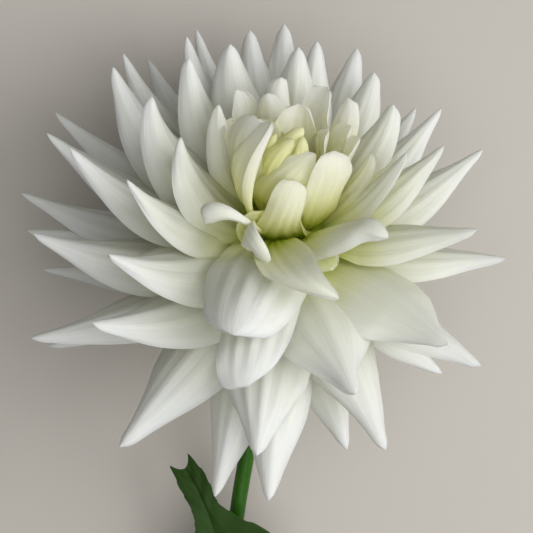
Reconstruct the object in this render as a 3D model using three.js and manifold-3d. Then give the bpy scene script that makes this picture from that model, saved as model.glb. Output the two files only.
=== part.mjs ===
// A cut dahlia lying on a table: a white semi-cactus bloom on a short leafy stem.
// Millimetres, +Z up. Built around the middle of the receptacle, then shifted so that the
// origin is at the middle of the footprint, on the table.
import * as THREE from 'three';
import { mergeVertices } from 'three/addons/utils/BufferGeometryUtils.js';
import Module from 'manifold-3d';

const wasm = await Module();
wasm.setup();

// Driving dimensions
const LEAN = 52;                 // degrees that the bloom's axis leans from upright towards +Y
const HEAD_HEIGHT = 62;          // middle of the receptacle above the table
const DOME_RADIUS = 13;          // receptacle
const HEART_SEAT = 11;           // height up the axis of the receptacle's flat, where the heart sits
const HEART_TOP = 40;            // height up the axis of the youngest florets
const GAP = 0.3;                 // clearance between neighbouring pieces
const PETAL_THICKNESS = 0.9;
const MARGIN = 0.5;              // least half width of a blade
const FOLD_START = 0.45;         // share of the half width at which a fold starts
const SLIVER = 0.02;             // facets thinner than this, left where pieces are cut, are merged away
const TOUCH = 1e-6;              // volume in mm3 below which two pieces count as clear of each other
const MERGE = 1e-4;              // points closer than this are one
const BLADE_STEPS = 10;          // sections along a petal
const BLADE_LANES = 5;           // points across a petal
const CLAW_DEPTH = 0.7;          // where a foot starts, as a share of the dome's radius
const CLAW_POLAR = 100;          // degrees from the axis at which the last feet stand
const CLAW_SHARE = 0.78;         // angle of a foot from the axis, as a share of its tip's angle
const CLAW_SPACING = 5.2;        // least distance between two petals' feet on the dome
const CLAW_ROUNDS = 40;          // how often feet that are too close push each other apart
const CLAW_PUSH = 0.25;          // share of the missing distance that each gives at a time
const CLAW_WIDTH = 0.24;         // width of a foot, as a share of the blade's
const CLAW_CURL = 150;           // degrees that a foot closes across
const NECK_CURL = 60;            // the same just above the foot
const TIP_CURL = 210;            // degrees that a tip closes across
const ARCH = 35;                 // usual bend back from foot to tip
const CUP = -80;                 // usual curl across, backwards
const RISE_SHAPE = 1.25;         // how slowly a blade widens from its foot
const TIP_SHAPE = 10;            // how suddenly the blunt part of a tip ends
const HOOK_START = 0.72;         // share of the length where a hook starts
const ROLL_END = 0.35;           // share of the length over which a blade takes up its roll
const TWIST_START = 0.4;         // share of the length where a twist changes side
const SLANT_END = 0.5;           // share of the length over which a slant takes hold
const FOLD_END = 0.3;            // the same for a fold
const BUD = [[6.6, 0.3], [9, 6.3], [8.5, 16], [6, 24]];  // radius, and height above the flat
const ROUND_SIDES = 12;          // facets round the bud
const DOME_SIDES = 16;
const DOME_RINGS = 10;
const STEM_RADIUS = 3;
const STEM_SIDES = 10;
const STEM_STEPS = 20;
const STEM_REACH = 238;          // how far the cut end lies from under the bloom
const STEM_NECK = [60, -4];      // how far the stem runs down the axis, and how far it leans then
const STEM_BEND = [-24, -115];   // where it has come down to the table
const STEM_END_X = -30;
const LEAF_NODE = 0.72;          // where along the stem the leaf grows
const LEAF_MIDDLE = [-14, -112, -28];
const LEAF_TIP = [-36.5, -80, -36];
const LEAF_THICKNESS = 0.9;
const LEAF_MARGIN = 0.3;         // thickness of its margins
const LEAF_TROUGH = 0.12;        // how much the two halves rise from the midrib
const LEAF_NOTCH = 4;
// Outline of the leaf: share of the length, width to the left, width to the right.
const LEAF_OUTLINE = [[0, 1.4, 1.4], [0.1, 1.4, 1.4], [0.16, 9, 9], [0.3, 19, 21], [0.45, 16, 24],
  [0.58, 11, 22], [0.68, 6, 10], [0.76, 5, 5], [0.9, 5.5, 5.5], [1, 4, 4]];
const BRACT_COUNT = 5;
const BRACT_REACH = 34;
const BRACT_TIP_POLAR = 132;     // degrees back from the axis
const BRACT_FOOT_POLAR = 150;
const BRACT_TURN = 20;           // degrees round the axis to the first bract
const AXIS = new THREE.Vector3(0.03, Math.sin(rad(LEAN)), Math.cos(rad(LEAN))).normalize();

// Outlines by side: share of the length where a blade is widest, how sharply it narrows beyond
// that, and the share of its width that stays to the tip. A fourth number is its foot's share of
// the width, and a fifth how long it stays that narrow.
const OUTLINES = {
  upper_left: [0.5, 1.25, 0.24],
  top: [0.55, 0.9, 0.4],
  right: [0.46, 1.7, 0.22],
  front: [0.44, 1.6, 0.26],
  left: [0.46, 1.75, 0.2],
  under: [0.5, 1.1, 0.18],
};
const PLAIN_OUTLINE = [0.5, 1.1, 0.18];
const SOFT_OUTLINE = [0.55, 0.6, 0.5];

// Petals by the side of the bloom they are on. heading and rise aim the tip as seen from the
// receptacle: degrees round from +X towards +Y, and degrees above level. reach is the distance
// to the tip. arch bends the blade back, or inwards if negative; hook turns its last quarter
// down; bow bends it sideways; cup is how far it closes across, and backwards if negative;
// pinch is how far its tip does; roll turns it about its own length and twist does so more towards
// the tip; slant pushes one margin forwards; fold and foldNear turn a margin over from foldStart
// outwards. A petal with a line follows the curve that those four points control instead, and
// facing is the heading and rise that its inner face looks towards.
const PETALS = {
  upper_left: [
    { heading: 133, rise: 0, reach: 86, width: 27, arch: -55, roll: 10 },
    { heading: 129, rise: -10, reach: 91, width: 20, arch: -35 },
    { heading: 114, rise: -8, reach: 83, width: 24, arch: -35 },
    { heading: 111, rise: -18, reach: 90, width: 20, arch: -20 },
    { heading: 116, rise: 6, reach: 73, width: 24, arch: -45 },
    { heading: 131, rise: 24, reach: 72, width: 27, arch: -60, roll: 18 },
    { heading: 133, rise: 40, reach: 63, width: 24, arch: -55, roll: 34, bow: 10 },
    { heading: 114, rise: 24, reach: 57, width: 19, arch: -40, roll: 15 },
  ],
  top: [
    { heading: 104, rise: -4, reach: 74, width: 25, arch: -25 },
    { heading: 98, rise: -16, reach: 83, width: 20, arch: -15 },
    { heading: 85, rise: -4, reach: 71, width: 22, arch: -15 },
    { heading: 80, rise: -12, reach: 77, width: 19, arch: -15 },
    { heading: 69, rise: -18, reach: 82, width: 20, arch: -15 },
    { heading: 62, rise: -10, reach: 72, width: 21, arch: -20 },
    { heading: 52, rise: 6, reach: 63, width: 21, arch: -20 },
  ],
  right: [
    { heading: 41, rise: -12, reach: 78, width: 24, arch: -10 },
    { heading: 32, rise: 14, reach: 67, width: 26, arch: -10 },
    { heading: 26, rise: -6, reach: 80, width: 27, arch: -12 },
    { heading: 37, rise: 36, reach: 63, width: 24, arch: -12 },
    { heading: 4, rise: 56, reach: 61, width: 37, arch: 20, hook: 60, outline: [0.42, 1.3, 0.3] },
    { heading: 5, rise: 23, reach: 71, width: 26, arch: 5, bow: -6 },
    { heading: 357, rise: 10, reach: 78, width: 27, arch: 5, bow: -6 },
  ],
  front: [
    {
      heading: 329, rise: 36, reach: 77, width: 44, arch: 24, bow: -20, cup: -60,
      outline: [0.42, 1.2, 0.22, 0.85],
    },
    { heading: 329, rise: 18, reach: 82, width: 32, arch: 25 },
    { heading: 296, rise: 46, reach: 76, width: 41, arch: 35 },
    { heading: 297, rise: 22, reach: 82, width: 34, arch: 30, fold: -60 },
    {
      width: 19, line: [[-2, 2, 14], [-4, 1, 42], [3, -14, 60], [18, -17, 54]], facing: [-80, 60],
      cup: -35, outline: [0.62, 0.9, 0.25],
    },
    {
      heading: 241, rise: 62, reach: 69, width: 37, arch: 55, hook: 20, cup: -75, pinch: 120,
      outline: [0.5, 0.6, 0.62],
    },
    {
      heading: 256, rise: 50, reach: 72, width: 26, arch: 45, hook: 30, cup: -50, pinch: 70,
      slant: 0.6, outline: [0.6, 0.6, 0.5],
    },
    { heading: 263, rise: 32, reach: 81, width: 32, arch: 30, outline: [0.55, 1.3, 0.22] },
    { heading: 267, rise: 20, reach: 90, width: 27, arch: 25, outline: [0.5, 1.2, 0.34] },
    { heading: 255, rise: 14, reach: 90, width: 28, arch: 20 },
    { heading: 231, rise: 16, reach: 90, width: 35, arch: 12 },
  ],
  left: [
    { heading: 202, rise: 34, reach: 80, width: 38, arch: -30, bow: -15 },
    { heading: 200, rise: 6, reach: 92, width: 30, arch: -15 },
    { heading: 183, rise: 44, reach: 77, width: 35, arch: -30, roll: 8, bow: 8 },
    { heading: 177, rise: 12, reach: 86, width: 36, arch: -30, cup: -90 },
    { heading: 185, rise: -22, reach: 95, width: 25, arch: -10 },
    { heading: 168, rise: -12, reach: 98, width: 27, arch: -20 },
    { heading: 154, rise: 0, reach: 91, width: 27, arch: -20 },
    { heading: 149, rise: -12, reach: 97, width: 25, arch: -12 },
    { heading: 155, rise: 18, reach: 82, width: 31, arch: -35, bow: 8 },
    { heading: 157, rise: 40, reach: 71, width: 26, arch: -35, roll: 12, bow: 18 },
  ],
  under: [
    { heading: 178, rise: -46, reach: 86, width: 24, arch: 20, rests: true },
    { heading: 156, rise: -48, reach: 83, width: 23, arch: 15, rests: true },
    { heading: 133, rise: -50, reach: 81, width: 23, arch: 10, rests: true },
    { heading: 109, rise: -51, reach: 80, width: 22, arch: 10, rests: true },
    { heading: 84, rise: -51, reach: 80, width: 22, arch: 10, rests: true },
    { heading: 58, rise: -50, reach: 81, width: 23, arch: 10, rests: true },
    { heading: 31, rise: -48, reach: 83, width: 23, arch: 15, rests: true },
    { heading: 3, rise: -46, reach: 86, width: 24, arch: 20, rests: true },
  ],
};

// Florets that stand round the heart and grow from it in one piece, written as the petals are.
const INNER_FLORETS = [
  // the tall one on the left that folds its near margin out
  {
    width: 25, line: [[-6, 9, 13], [-17, 13, 32], [-17, 28, 44], [-4, 41, 38]], facing: [20, -30],
    cup: 45, foldNear: -170, outline: [0.45, 0.7, 0.35], pinch: 80,
  },
  // the one in front of the core that wraps it to the right
  {
    width: 17, line: [[-4, 8, 15], [-6, 14, 34], [2, 21, 42], [11, 30, 39]], facing: [60, -30],
    cup: 60, outline: [0.5, 0.9, 0.3], pinch: 90,
  },
  // the hood over the throat
  {
    width: 14, line: [[1, 2, 12], [-3, 2, 32], [2, 11, 44], [5, 21, 41]], facing: [90, -10], cup: 35,
    foldNear: -160, foldStart: 0.75, outline: [0.75, 0.6, 0.65, 2.4, 1.0], pinch: 45,
  },
  // the broad one on the right with a round top
  {
    width: 18, line: [[8, 4, 12], [14, 11, 32], [19, 23, 43], [17, 31, 40]], facing: [115, -20],
    cup: 30, outline: [0.6, 0.4, 0.6], pinch: 50,
  },
  // the small spoon on the left
  {
    width: 15, line: [[-5, 4, 14], [-8, 4, 42], [-15, 12, 49], [-25, 7, 42]], facing: [90, -60],
    cup: 190, outline: [0.92, 0.4, 0.7, 0.18, 28.0], pinch: 250,
  },
  // the one beside it that is folded double and hangs over the throat
  {
    width: 7, line: [[-8, 4, 14], [-15, 9, 36], [-12, 5, 54], [-5, -6, 43]], facing: [-20, 50],
    cup: 40, outline: [0.6, 0.6, 0.5], pinch: 90,
  },
  // the low ones that close the throat
  {
    width: 15, line: [[-2, 5, 12], [-6, 6, 24], [-11, 8, 32], [-14, 9, 35]], facing: [-60, 50],
    cup: 30, outline: [0.6, 0.5, 0.6], pinch: 60,
  },
  {
    width: 15, line: [[0, 1, 12], [-2, -2, 24], [-1, -5, 32], [2, -9, 37]], facing: [60, 60], cup: 30,
    outline: [0.6, 0.5, 0.6], pinch: 60,
  },
  {
    width: 16, line: [[3, -1, 12], [8, -3, 22], [12, -5, 28], [17, -8, 31]], facing: [60, 60],
    cup: 30, outline: [0.6, 0.5, 0.6], pinch: 60,
  },
  // the broad one behind the tall one
  {
    width: 18, line: [[-4, 10, 12], [-15, 22, 28], [-18, 34, 36], [-9, 43, 34]], facing: [20, -40],
    cup: 40, outline: [0.6, 0.5, 0.55], pinch: 60,
  },
  // the young ones that close round the bud
  {
    heading: 106, rise: 9, reach: 57, width: 19, arch: -25, cup: 55, roll: -20, outline: SOFT_OUTLINE,
    pinch: 120,
  },
  { heading: 95, rise: 12, reach: 54, width: 17, arch: -25, roll: 15, outline: SOFT_OUTLINE },
  {
    heading: 74, rise: 6, reach: 58, width: 18, arch: -25, cup: 45, roll: 25, outline: SOFT_OUTLINE,
    pinch: 110,
  },
  { heading: 66, rise: 9, reach: 57, width: 17, arch: -25, twist: 30, outline: SOFT_OUTLINE },
  {
    heading: 83, rise: 20, reach: 52, width: 19, arch: -25, cup: 60, roll: -10, outline: SOFT_OUTLINE,
    pinch: 130,
  },
  {
    heading: 60, rise: 18, reach: 50, width: 18, arch: -25, cup: 50, roll: 20, outline: SOFT_OUTLINE,
    pinch: 110,
  },
  { heading: 46, rise: 30, reach: 50, width: 17, arch: -20, roll: 15, outline: SOFT_OUTLINE },
  {
    heading: 68, rise: 27, reach: 48, width: 16, arch: -25, cup: 70, roll: 25, outline: SOFT_OUTLINE,
    pinch: 140,
  },
  {
    heading: 54, rise: 28, reach: 51, width: 16, arch: -20, cup: 40, roll: 10, outline: SOFT_OUTLINE,
    pinch: 100,
  },
  { heading: 90, rise: 7, reach: 59, width: 16, arch: -20, twist: -30, outline: SOFT_OUTLINE },
  {
    heading: 115, rise: 20, reach: 50, width: 18, arch: -35, cup: 55, roll: -15, outline: SOFT_OUTLINE,
    pinch: 120,
  },
  {
    heading: 100, rise: 24, reach: 48, width: 17, arch: -30, cup: 60, outline: SOFT_OUTLINE,
    pinch: 130,
  },
  { heading: 38, rise: 22, reach: 54, width: 16, arch: -15, twist: 25, outline: SOFT_OUTLINE },
];

function rad(degrees) {
  return degrees * Math.PI / 180;
}

function smooth(x) {
  const t = Math.min(Math.max(x, 0), 1);
  return t * t * (3 - 2 * t);
}

// Straight-line interpolation through [position, value] pairs.
function ramp(pairs, x) {
  for (let i = 1; i < pairs.length; i += 1) {
    const [x0, y0] = pairs[i - 1];
    const [x1, y1] = pairs[i];
    if (x <= x1) return y0 + (y1 - y0) * (x - x0) / (x1 - x0);
  }
  return pairs.at(-1)[1];
}

function aim(heading, rise) {
  const level = Math.cos(rad(rise));
  return new THREE.Vector3(level * Math.cos(rad(heading)), level * Math.sin(rad(heading)),
    Math.sin(rad(rise)));
}

// Where a petal would leave the dome: nearer the axis than its tip points.
function footDirection(petal) {
  if (petal.foot) return aim(...petal.foot);
  const tip = aim(petal.heading, petal.rise);
  const polar = tip.angleTo(AXIS);
  const outward = tip.clone().addScaledVector(AXIS, -tip.dot(AXIS)).normalize();
  const foot = Math.min(polar * CLAW_SHARE, rad(CLAW_POLAR));
  return AXIS.clone().multiplyScalar(Math.cos(foot)).addScaledVector(outward, Math.sin(foot));
}

// Feet closer together than the claw spacing push each other apart over the dome.
function spreadFeet(feet) {
  for (let round = 0; round < CLAW_ROUNDS; round += 1) {
    for (let i = 0; i < feet.length; i += 1) {
      for (let j = i + 1; j < feet.length; j += 1) {
        const apart = feet[i].clone().sub(feet[j]);
        const distance = apart.length() * DOME_RADIUS;
        if (distance >= CLAW_SPACING || distance === 0) continue;
        apart.setLength((CLAW_SPACING - distance) / DOME_RADIUS * CLAW_PUSH);
        feet[i].add(apart).normalize();
        feet[j].sub(apart).normalize();
      }
    }
  }
}

// The blade's outline: half of the full width at u, from the claw (0) to the tip (1).
function halfWidth(petal, u) {
  const [widest, point, blunt, claw = CLAW_WIDTH, neck = RISE_SHAPE] = petal.outline;
  const opened = Math.sin(Math.PI / 2 * Math.min(u / widest, 1)) ** neck;
  const rising = claw + (1 - claw) * opened;
  const q = Math.max((u - widest) / (1 - widest), 0);
  const falling = (1 - blunt) * Math.cos(Math.PI / 2 * q) ** point
    + blunt * Math.sqrt(Math.max(1 - q ** TIP_SHAPE, 0));
  return Math.max(petal.width / 2 * (u < widest ? rising : falling), MARGIN);
}

// The middle line of a petal whose tip is aimed: points, directions and inner faces.
function aimedSpine(petal, foot) {
  const base = foot.clone().multiplyScalar(DOME_RADIUS * CLAW_DEPTH);
  const chord = aim(petal.heading, petal.rise).multiplyScalar(petal.reach).sub(base);
  const along = chord.clone().normalize();
  const face = AXIS.clone().addScaledVector(along, -AXIS.dot(along)).normalize();
  const side = along.clone().cross(face);
  const stations = [];
  const spot = new THREE.Vector3();
  for (let i = 0; i < BLADE_STEPS; i += 1) {
    const u = i / (BLADE_STEPS - 1);
    const hook = rad(petal.hook ?? 0) * smooth((u - HOOK_START) / (1 - HOOK_START));
    const bend = rad(petal.arch ?? ARCH) * (0.5 - u) - hook;
    const sway = rad(petal.bow ?? 0) * (0.5 - u);
    const tangent = along.clone().multiplyScalar(Math.cos(bend) * Math.cos(sway))
      .addScaledVector(side, Math.cos(bend) * Math.sin(sway))
      .addScaledVector(face, Math.sin(bend));
    if (i > 0) spot.addScaledVector(tangent.clone().add(stations[i - 1].tangent), 0.5);
    stations.push({ u, spot: spot.clone(), tangent });
  }
  const end = stations.at(-1).spot;
  const turn = new THREE.Quaternion().setFromUnitVectors(end.clone().normalize(), along);
  const scale = chord.length() / end.length();
  face.applyQuaternion(turn);
  return stations.map(({ u, spot: place, tangent }) => {
    place.multiplyScalar(scale).applyQuaternion(turn).add(base);
    tangent.applyQuaternion(turn);
    return { u, place, tangent, normal: squareTo(tangent, face) };
  });
}

// The same for a petal that follows a line of its own.
function drawnSpine(petal) {
  const knots = petal.line.map((point) => new THREE.Vector3(...point));
  const curve = new THREE.CubicBezierCurve3(...knots);
  let normal = aim(...petal.facing);
  return Array.from({ length: BLADE_STEPS }, (_, i) => {
    const u = i / (BLADE_STEPS - 1);
    const tangent = curve.getTangentAt(u);
    normal = squareTo(tangent, normal);
    return { u, place: curve.getPointAt(u), tangent, normal };
  });
}

// The part of a direction that is square to a tangent.
function squareTo(tangent, direction) {
  return direction.clone().addScaledVector(tangent, -direction.dot(tangent)).normalize();
}

// Rows of points over the blade's two faces, from the claw to the tip.
function bladeRows(petal, foot, thickness, swell) {
  const spine = petal.line ? drawnSpine(petal) : aimedSpine(petal, foot);
  return spine.map(({ u, place, tangent, normal }) => {
    const turned = (petal.roll ?? 0) + (petal.twist ?? 0) * (u - TWIST_START);
    normal.applyAxisAngle(tangent, -rad(turned) * smooth(u / ROLL_END));
    return section(petal, u, { place, tangent, normal }, thickness, swell);
  });
}

// How far the blade closes across at u: the claw is a channel, and the rest opens into a blade
// whose margins turn back, or in, most of all at the tip.
function curlAt(petal, u) {
  const cup = petal.cup ?? CUP;
  const pinch = (petal.pinch ?? TIP_CURL) * Math.sign(cup);
  return rad(ramp([[0, CLAW_CURL], [0.15, NECK_CURL], [0.35, 0.5 * cup], [0.65, cup],
    [0.85, 0.5 * (cup + pinch)], [0.97, pinch], [1, pinch]], u));
}

// One cross-section. Each step out from the middle turns with the curl, and over a folded margin
// it turns further.
function section(petal, u, { place, tangent, normal }, thickness, swell) {
  const across = tangent.clone().cross(normal);
  const half = halfWidth(petal, u) + swell;
  const tightest = 2 * half / thickness;
  const curl = THREE.MathUtils.clamp(curlAt(petal, u), -tightest, tightest);
  const step = 2 * half / (BLADE_LANES - 1);
  const slopes = Array.from({ length: BLADE_LANES - 1 }, (_, j) => {
    const v = (2 * j + 1) / (BLADE_LANES - 1) - 1;
    const fold = rad((v > 0 ? petal.fold : petal.foldNear) ?? 0) * Math.sign(v);
    const start = petal.foldStart ?? FOLD_START;
    const share = smooth((Math.abs(v) - start) / (1 - start)) * smooth(u / FOLD_END);
    return curl / 2 * v + fold * share;
  });
  const walk = [place.clone()];
  const pace = (slope) => across.clone().multiplyScalar(Math.cos(slope))
    .addScaledVector(normal, Math.sin(slope));
  slopes.slice(BLADE_LANES / 2).forEach((slope) => {
    walk.push(walk.at(-1).clone().addScaledVector(pace(slope), step));
  });
  slopes.slice(0, BLADE_LANES / 2).reverse().forEach((slope) => {
    walk.unshift(walk[0].clone().addScaledVector(pace(slope), -step));
  });
  const slant = (petal.slant ?? 0) * smooth(u / SLANT_END);
  const top = [];
  const under = [];
  walk.forEach((point, j) => {
    point.addScaledVector(tangent, slant * point.clone().sub(place).dot(across));
    const slope = ((slopes[j - 1] ?? slopes[j]) + (slopes[j] ?? slopes[j - 1])) / 2;
    const out = normal.clone().multiplyScalar(Math.cos(slope))
      .addScaledVector(across, -Math.sin(slope));
    const rim = j === 0 || j === BLADE_LANES - 1;
    const depth = rim ? swell / 2 : thickness / 2;
    top.push(point.clone().addScaledVector(out, depth));
    under.push(point.clone().addScaledVector(out, -depth));
  });
  return { top, under };
}

// A closed skin round rows of top and under points. Both faces are split along the same
// diagonals, which mirror each other about the middle, so that they keep their distance.
function skin(rows) {
  const rings = rows.map(({ top, under }) => [...top, ...under.slice().reverse()]);
  const size = rings[0].length;
  const lanes = size / 2;
  const positions = rings.flat().flatMap((point) => point.toArray());
  const index = [];
  for (let i = 0; i + 1 < rings.length; i += 1) {
    for (let j = 0; j < size; j += 1) {
      const a = i * size + j;
      const b = i * size + (j + 1) % size;
      if (j % lanes < (lanes - 1) / 2) index.push(a, b, b + size, a, b + size, a + size);
      else index.push(a, b, a + size, b, b + size, a + size);
    }
  }
  for (const [first, flip] of [[0, false], [(rings.length - 1) * size, true]]) {
    for (let j = 0; j + 1 < lanes; j += 1) {
      const quad = [first + j, first + j + 1, first + size - 2 - j, first + size - 1 - j];
      const [a, b, c, d] = flip ? quad : quad.reverse();
      index.push(a, b, c, a, c, d);
    }
  }
  const geometry = new THREE.BufferGeometry();
  geometry.setAttribute('position', new THREE.Float32BufferAttribute(positions, 3));
  geometry.setIndex(index);
  return geometry;
}

function toSolid(geometry) {
  const plain = geometry.clone();
  plain.deleteAttribute('normal');
  plain.deleteAttribute('uv');
  const merged = mergeVertices(plain, MERGE);
  return new wasm.Manifold(new wasm.Mesh({
    numProp: 3,
    vertProperties: new Float32Array(merged.attributes.position.array),
    triVerts: new Uint32Array(merged.index.array),
  }));
}

function toGeometry(solid) {
  const mesh = solid.getMesh();
  const geometry = new THREE.BufferGeometry();
  geometry.setAttribute('position', new THREE.BufferAttribute(mesh.vertProperties, 3));
  geometry.setIndex(new THREE.BufferAttribute(mesh.triVerts, 1));
  geometry.computeVertexNormals();
  return geometry;
}

// The blade lowered or lifted, point by point, so that its lowest point just meets the table.
function restOnTable(rows) {
  const points = rows.flatMap(({ top, under }) => [...top, ...under]);
  const lowest = Math.min(...points.map((point) => point.z));
  points.forEach((point) => { point.z *= -HEAD_HEIGHT / lowest; });
}

function petalSolid(petal, foot, thickness, swell) {
  const rows = bladeRows(petal, foot, thickness, swell);
  if (petal.rests) restOnTable(rows);
  return toSolid(skin(rows));
}

function ball(radius) {
  return new THREE.SphereGeometry(radius, DOME_SIDES, DOME_RINGS);
}

// Turns a lathed shape's +Y onto the bloom's axis.
function alongAxis(geometry) {
  const upright = new THREE.Vector3(0, 1, 0);
  return geometry.applyQuaternion(new THREE.Quaternion().setFromUnitVectors(upright, AXIS));
}

// The dome without its top: everything further up the axis than the heart's seat is cut off.
function receptacleSolid() {
  const size = DOME_RADIUS * 2;
  const cap = new THREE.CylinderGeometry(size, size, size, ROUND_SIDES);
  cap.translate(0, HEART_SEAT + DOME_RADIUS, 0);
  return toSolid(ball(DOME_RADIUS)).subtract(toSolid(alongAxis(cap)));
}

// The packed young florets, as one bud on the receptacle's flat.
function budSolid(swell) {
  const [[seatRadius, clear], ...rest] = BUD;
  const profile = [[0, clear - swell], [seatRadius + swell, clear - swell],
    ...rest.map(([radius, height]) => [radius + swell, height]),
    [0, HEART_TOP - HEART_SEAT + swell]];
  const points = profile.map(([radius, height]) => new THREE.Vector2(radius, HEART_SEAT + height));
  return toSolid(alongAxis(new THREE.LatheGeometry(points, ROUND_SIDES)));
}

// Petals give way to each other where they cross: of each pair, the one that loses less of its
// blade is trimmed back to the clearance.
function trimCrossings(pieces) {
  for (let i = 0; i < pieces.length; i += 1) {
    for (let j = 0; j < i; j += 1) {
      const [a, b] = [pieces[i], pieces[j]];
      if (a.solid.intersect(b.fat).volume() < TOUCH) continue;
      const [trimmedA, trimmedB] = [largest(a.solid.subtract(b.fat)), largest(b.solid.subtract(a.fat))];
      const keptA = trimmedA.volume() / a.solid.volume();
      const keptB = trimmedB.volume() / b.solid.volume();
      if (keptA >= keptB) a.solid = trimmedA;
      else b.solid = trimmedB;
    }
  }
}

// The main body of a solid after a cut, without crumbs and slivers.
function largest(solid) {
  return solid.simplify(SLIVER).decompose()
    .reduce((best, piece) => (piece.volume() > best.volume() ? piece : best));
}

const stemPath = new THREE.CubicBezierCurve3(
  AXIS.clone().multiplyScalar(-DOME_RADIUS - GAP),
  AXIS.clone().multiplyScalar(-STEM_NECK[0]).add(new THREE.Vector3(STEM_NECK[1], 0, 0)),
  new THREE.Vector3(...STEM_BEND, STEM_RADIUS - HEAD_HEIGHT),
  new THREE.Vector3(STEM_END_X, -STEM_REACH, STEM_RADIUS - HEAD_HEIGHT),
);

function stemGeometry(swell) {
  const outline = new THREE.Shape().absarc(0, 0, STEM_RADIUS + swell, 0, Math.PI * 2);
  return new THREE.ExtrudeGeometry(outline,
    { steps: STEM_STEPS, curveSegments: STEM_SIDES / 2, extrudePath: stemPath, bevelEnabled: false });
}

// A leaf with a short stalk. It leaves the stem at its node, arches forward over it and ends in a
// narrow lobe with a notched tip.
function leafSolid() {
  const node = stemPath.getPoint(LEAF_NODE);
  const start = node.clone().add(new THREE.Vector3(0, 0, STEM_RADIUS - 1));
  const midrib = new THREE.QuadraticBezierCurve3(
    start, new THREE.Vector3(...LEAF_MIDDLE), new THREE.Vector3(...LEAF_TIP));
  const up = new THREE.Vector3(0, 0, 1);
  const rows = LEAF_OUTLINE.map(([u, left, right]) => {
    const spot = midrib.getPoint(u);
    const tangent = midrib.getTangent(u);
    const across = tangent.clone().cross(up).normalize();
    const normal = across.clone().cross(tangent);
    const top = [];
    const under = [];
    for (const v of [-1, -0.5, 0, 0.5, 1]) {
      const reach = v < 0 ? left * v : right * v;
      const notch = u === 1 ? LEAF_NOTCH * (v * v - 0.5) : 0;
      const point = spot.clone().addScaledVector(across, reach).addScaledVector(tangent, notch)
        .addScaledVector(normal, LEAF_TROUGH * Math.abs(reach));
      const depth = (Math.abs(v) === 1 ? LEAF_MARGIN : LEAF_THICKNESS) / 2;
      top.push(point.clone().addScaledVector(normal, depth));
      under.push(point.clone().addScaledVector(normal, -depth));
    }
    return { top, under };
  });
  return toSolid(skin(rows));
}

// The green bracts, turned back round the top of the stem, are small blades too.
function bract(index) {
  const turn = rad(360 / BRACT_COUNT * index + BRACT_TURN);
  const side = new THREE.Vector3(1, 0, 0).cross(AXIS).normalize().applyAxisAngle(AXIS, turn);
  const lean = (polar) => AXIS.clone().multiplyScalar(Math.cos(rad(polar)))
    .addScaledVector(side, Math.sin(rad(polar)));
  const tip = lean(BRACT_TIP_POLAR);
  const petal = {
    heading: THREE.MathUtils.radToDeg(Math.atan2(tip.y, tip.x)),
    rise: THREE.MathUtils.radToDeg(Math.asin(tip.z)),
    reach: BRACT_REACH, width: 9, arch: 40, cup: 50, pinch: 120, outline: PLAIN_OUTLINE,
  };
  return { name: `bract_${index + 1}`, petal, foot: lean(BRACT_FOOT_POLAR), finish: finishes.stem };
}

const finishes = {
  petal: new THREE.MeshStandardMaterial({ color: 0xe9ebe2, roughness: 0.6, metalness: 0 }),
  heart: new THREE.MeshStandardMaterial({ color: 0xdfe3a0, roughness: 0.6, metalness: 0 }),
  stem: new THREE.MeshStandardMaterial({ color: 0x3f6b22, roughness: 0.5, metalness: 0 }),
  leaf: new THREE.MeshStandardMaterial({ color: 0x2c4a1b, roughness: 0.5, metalness: 0 }),
};

const flower = new THREE.Group();

function place(name, geometry, finish) {
  const mesh = new THREE.Mesh(geometry, finish);
  mesh.name = name;
  flower.add(mesh);
}

const petals = Object.entries(PETALS).flatMap(([side, rows]) => rows.map((petal, i) => ({
  name: `petal_${side}_${i + 1}`,
  petal: { outline: OUTLINES[side], ...petal },
  finish: finishes.petal,
})));
const florets = INNER_FLORETS.map((petal) => ({ petal }));
const onDome = [...petals, ...florets];
spreadFeet(onDome.filter(({ petal }) => !petal.line).map((blade) => {
  blade.foot = footDirection(blade.petal);
  return blade.foot;
}));
const bracts = Array.from({ length: BRACT_COUNT }, (_, i) => bract(i));

const clearStem = toSolid(stemGeometry(GAP));
const clearCore = toSolid(ball(DOME_RADIUS + GAP)).add(clearStem);
const clearBud = budSolid(GAP);
const blades = [...onDome, ...bracts];
blades.forEach((blade) => {
  const whole = petalSolid(blade.petal, blade.foot, PETAL_THICKNESS, 0).subtract(clearCore);
  blade.solid = blade.name ? largest(whole.subtract(clearBud)) : whole;
  blade.fat = petalSolid(blade.petal, blade.foot, PETAL_THICKNESS + 2 * GAP, GAP);
});
trimCrossings(blades);

const heart = florets.reduce((solid, floret) => solid.add(floret.solid), budSolid(0));
place('receptacle', toGeometry(receptacleSolid()), finishes.stem);
place('heart', toGeometry(largest(heart)), finishes.heart);
[...petals, ...bracts].forEach(({ name, solid, finish }) => place(name, toGeometry(solid), finish));
place('stem', stemGeometry(0), finishes.stem);
place('leaf', toGeometry(largest(leafSolid().subtract(clearStem))), finishes.leaf);

const footprint = new THREE.Box3().setFromObject(flower);
const middle = footprint.getCenter(new THREE.Vector3());
flower.position.set(-middle.x, -middle.y, HEAD_HEIGHT);

export default flower;
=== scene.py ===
"""A cut white dahlia lying on a pale surface: petals, heart, stem, bracts and one leaf.

Shapes are worked out in millimetres round the middle of the receptacle, and a mesh is written
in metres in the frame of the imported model.
"""

import logging
import math
from dataclasses import dataclass, replace
from enum import Enum

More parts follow.
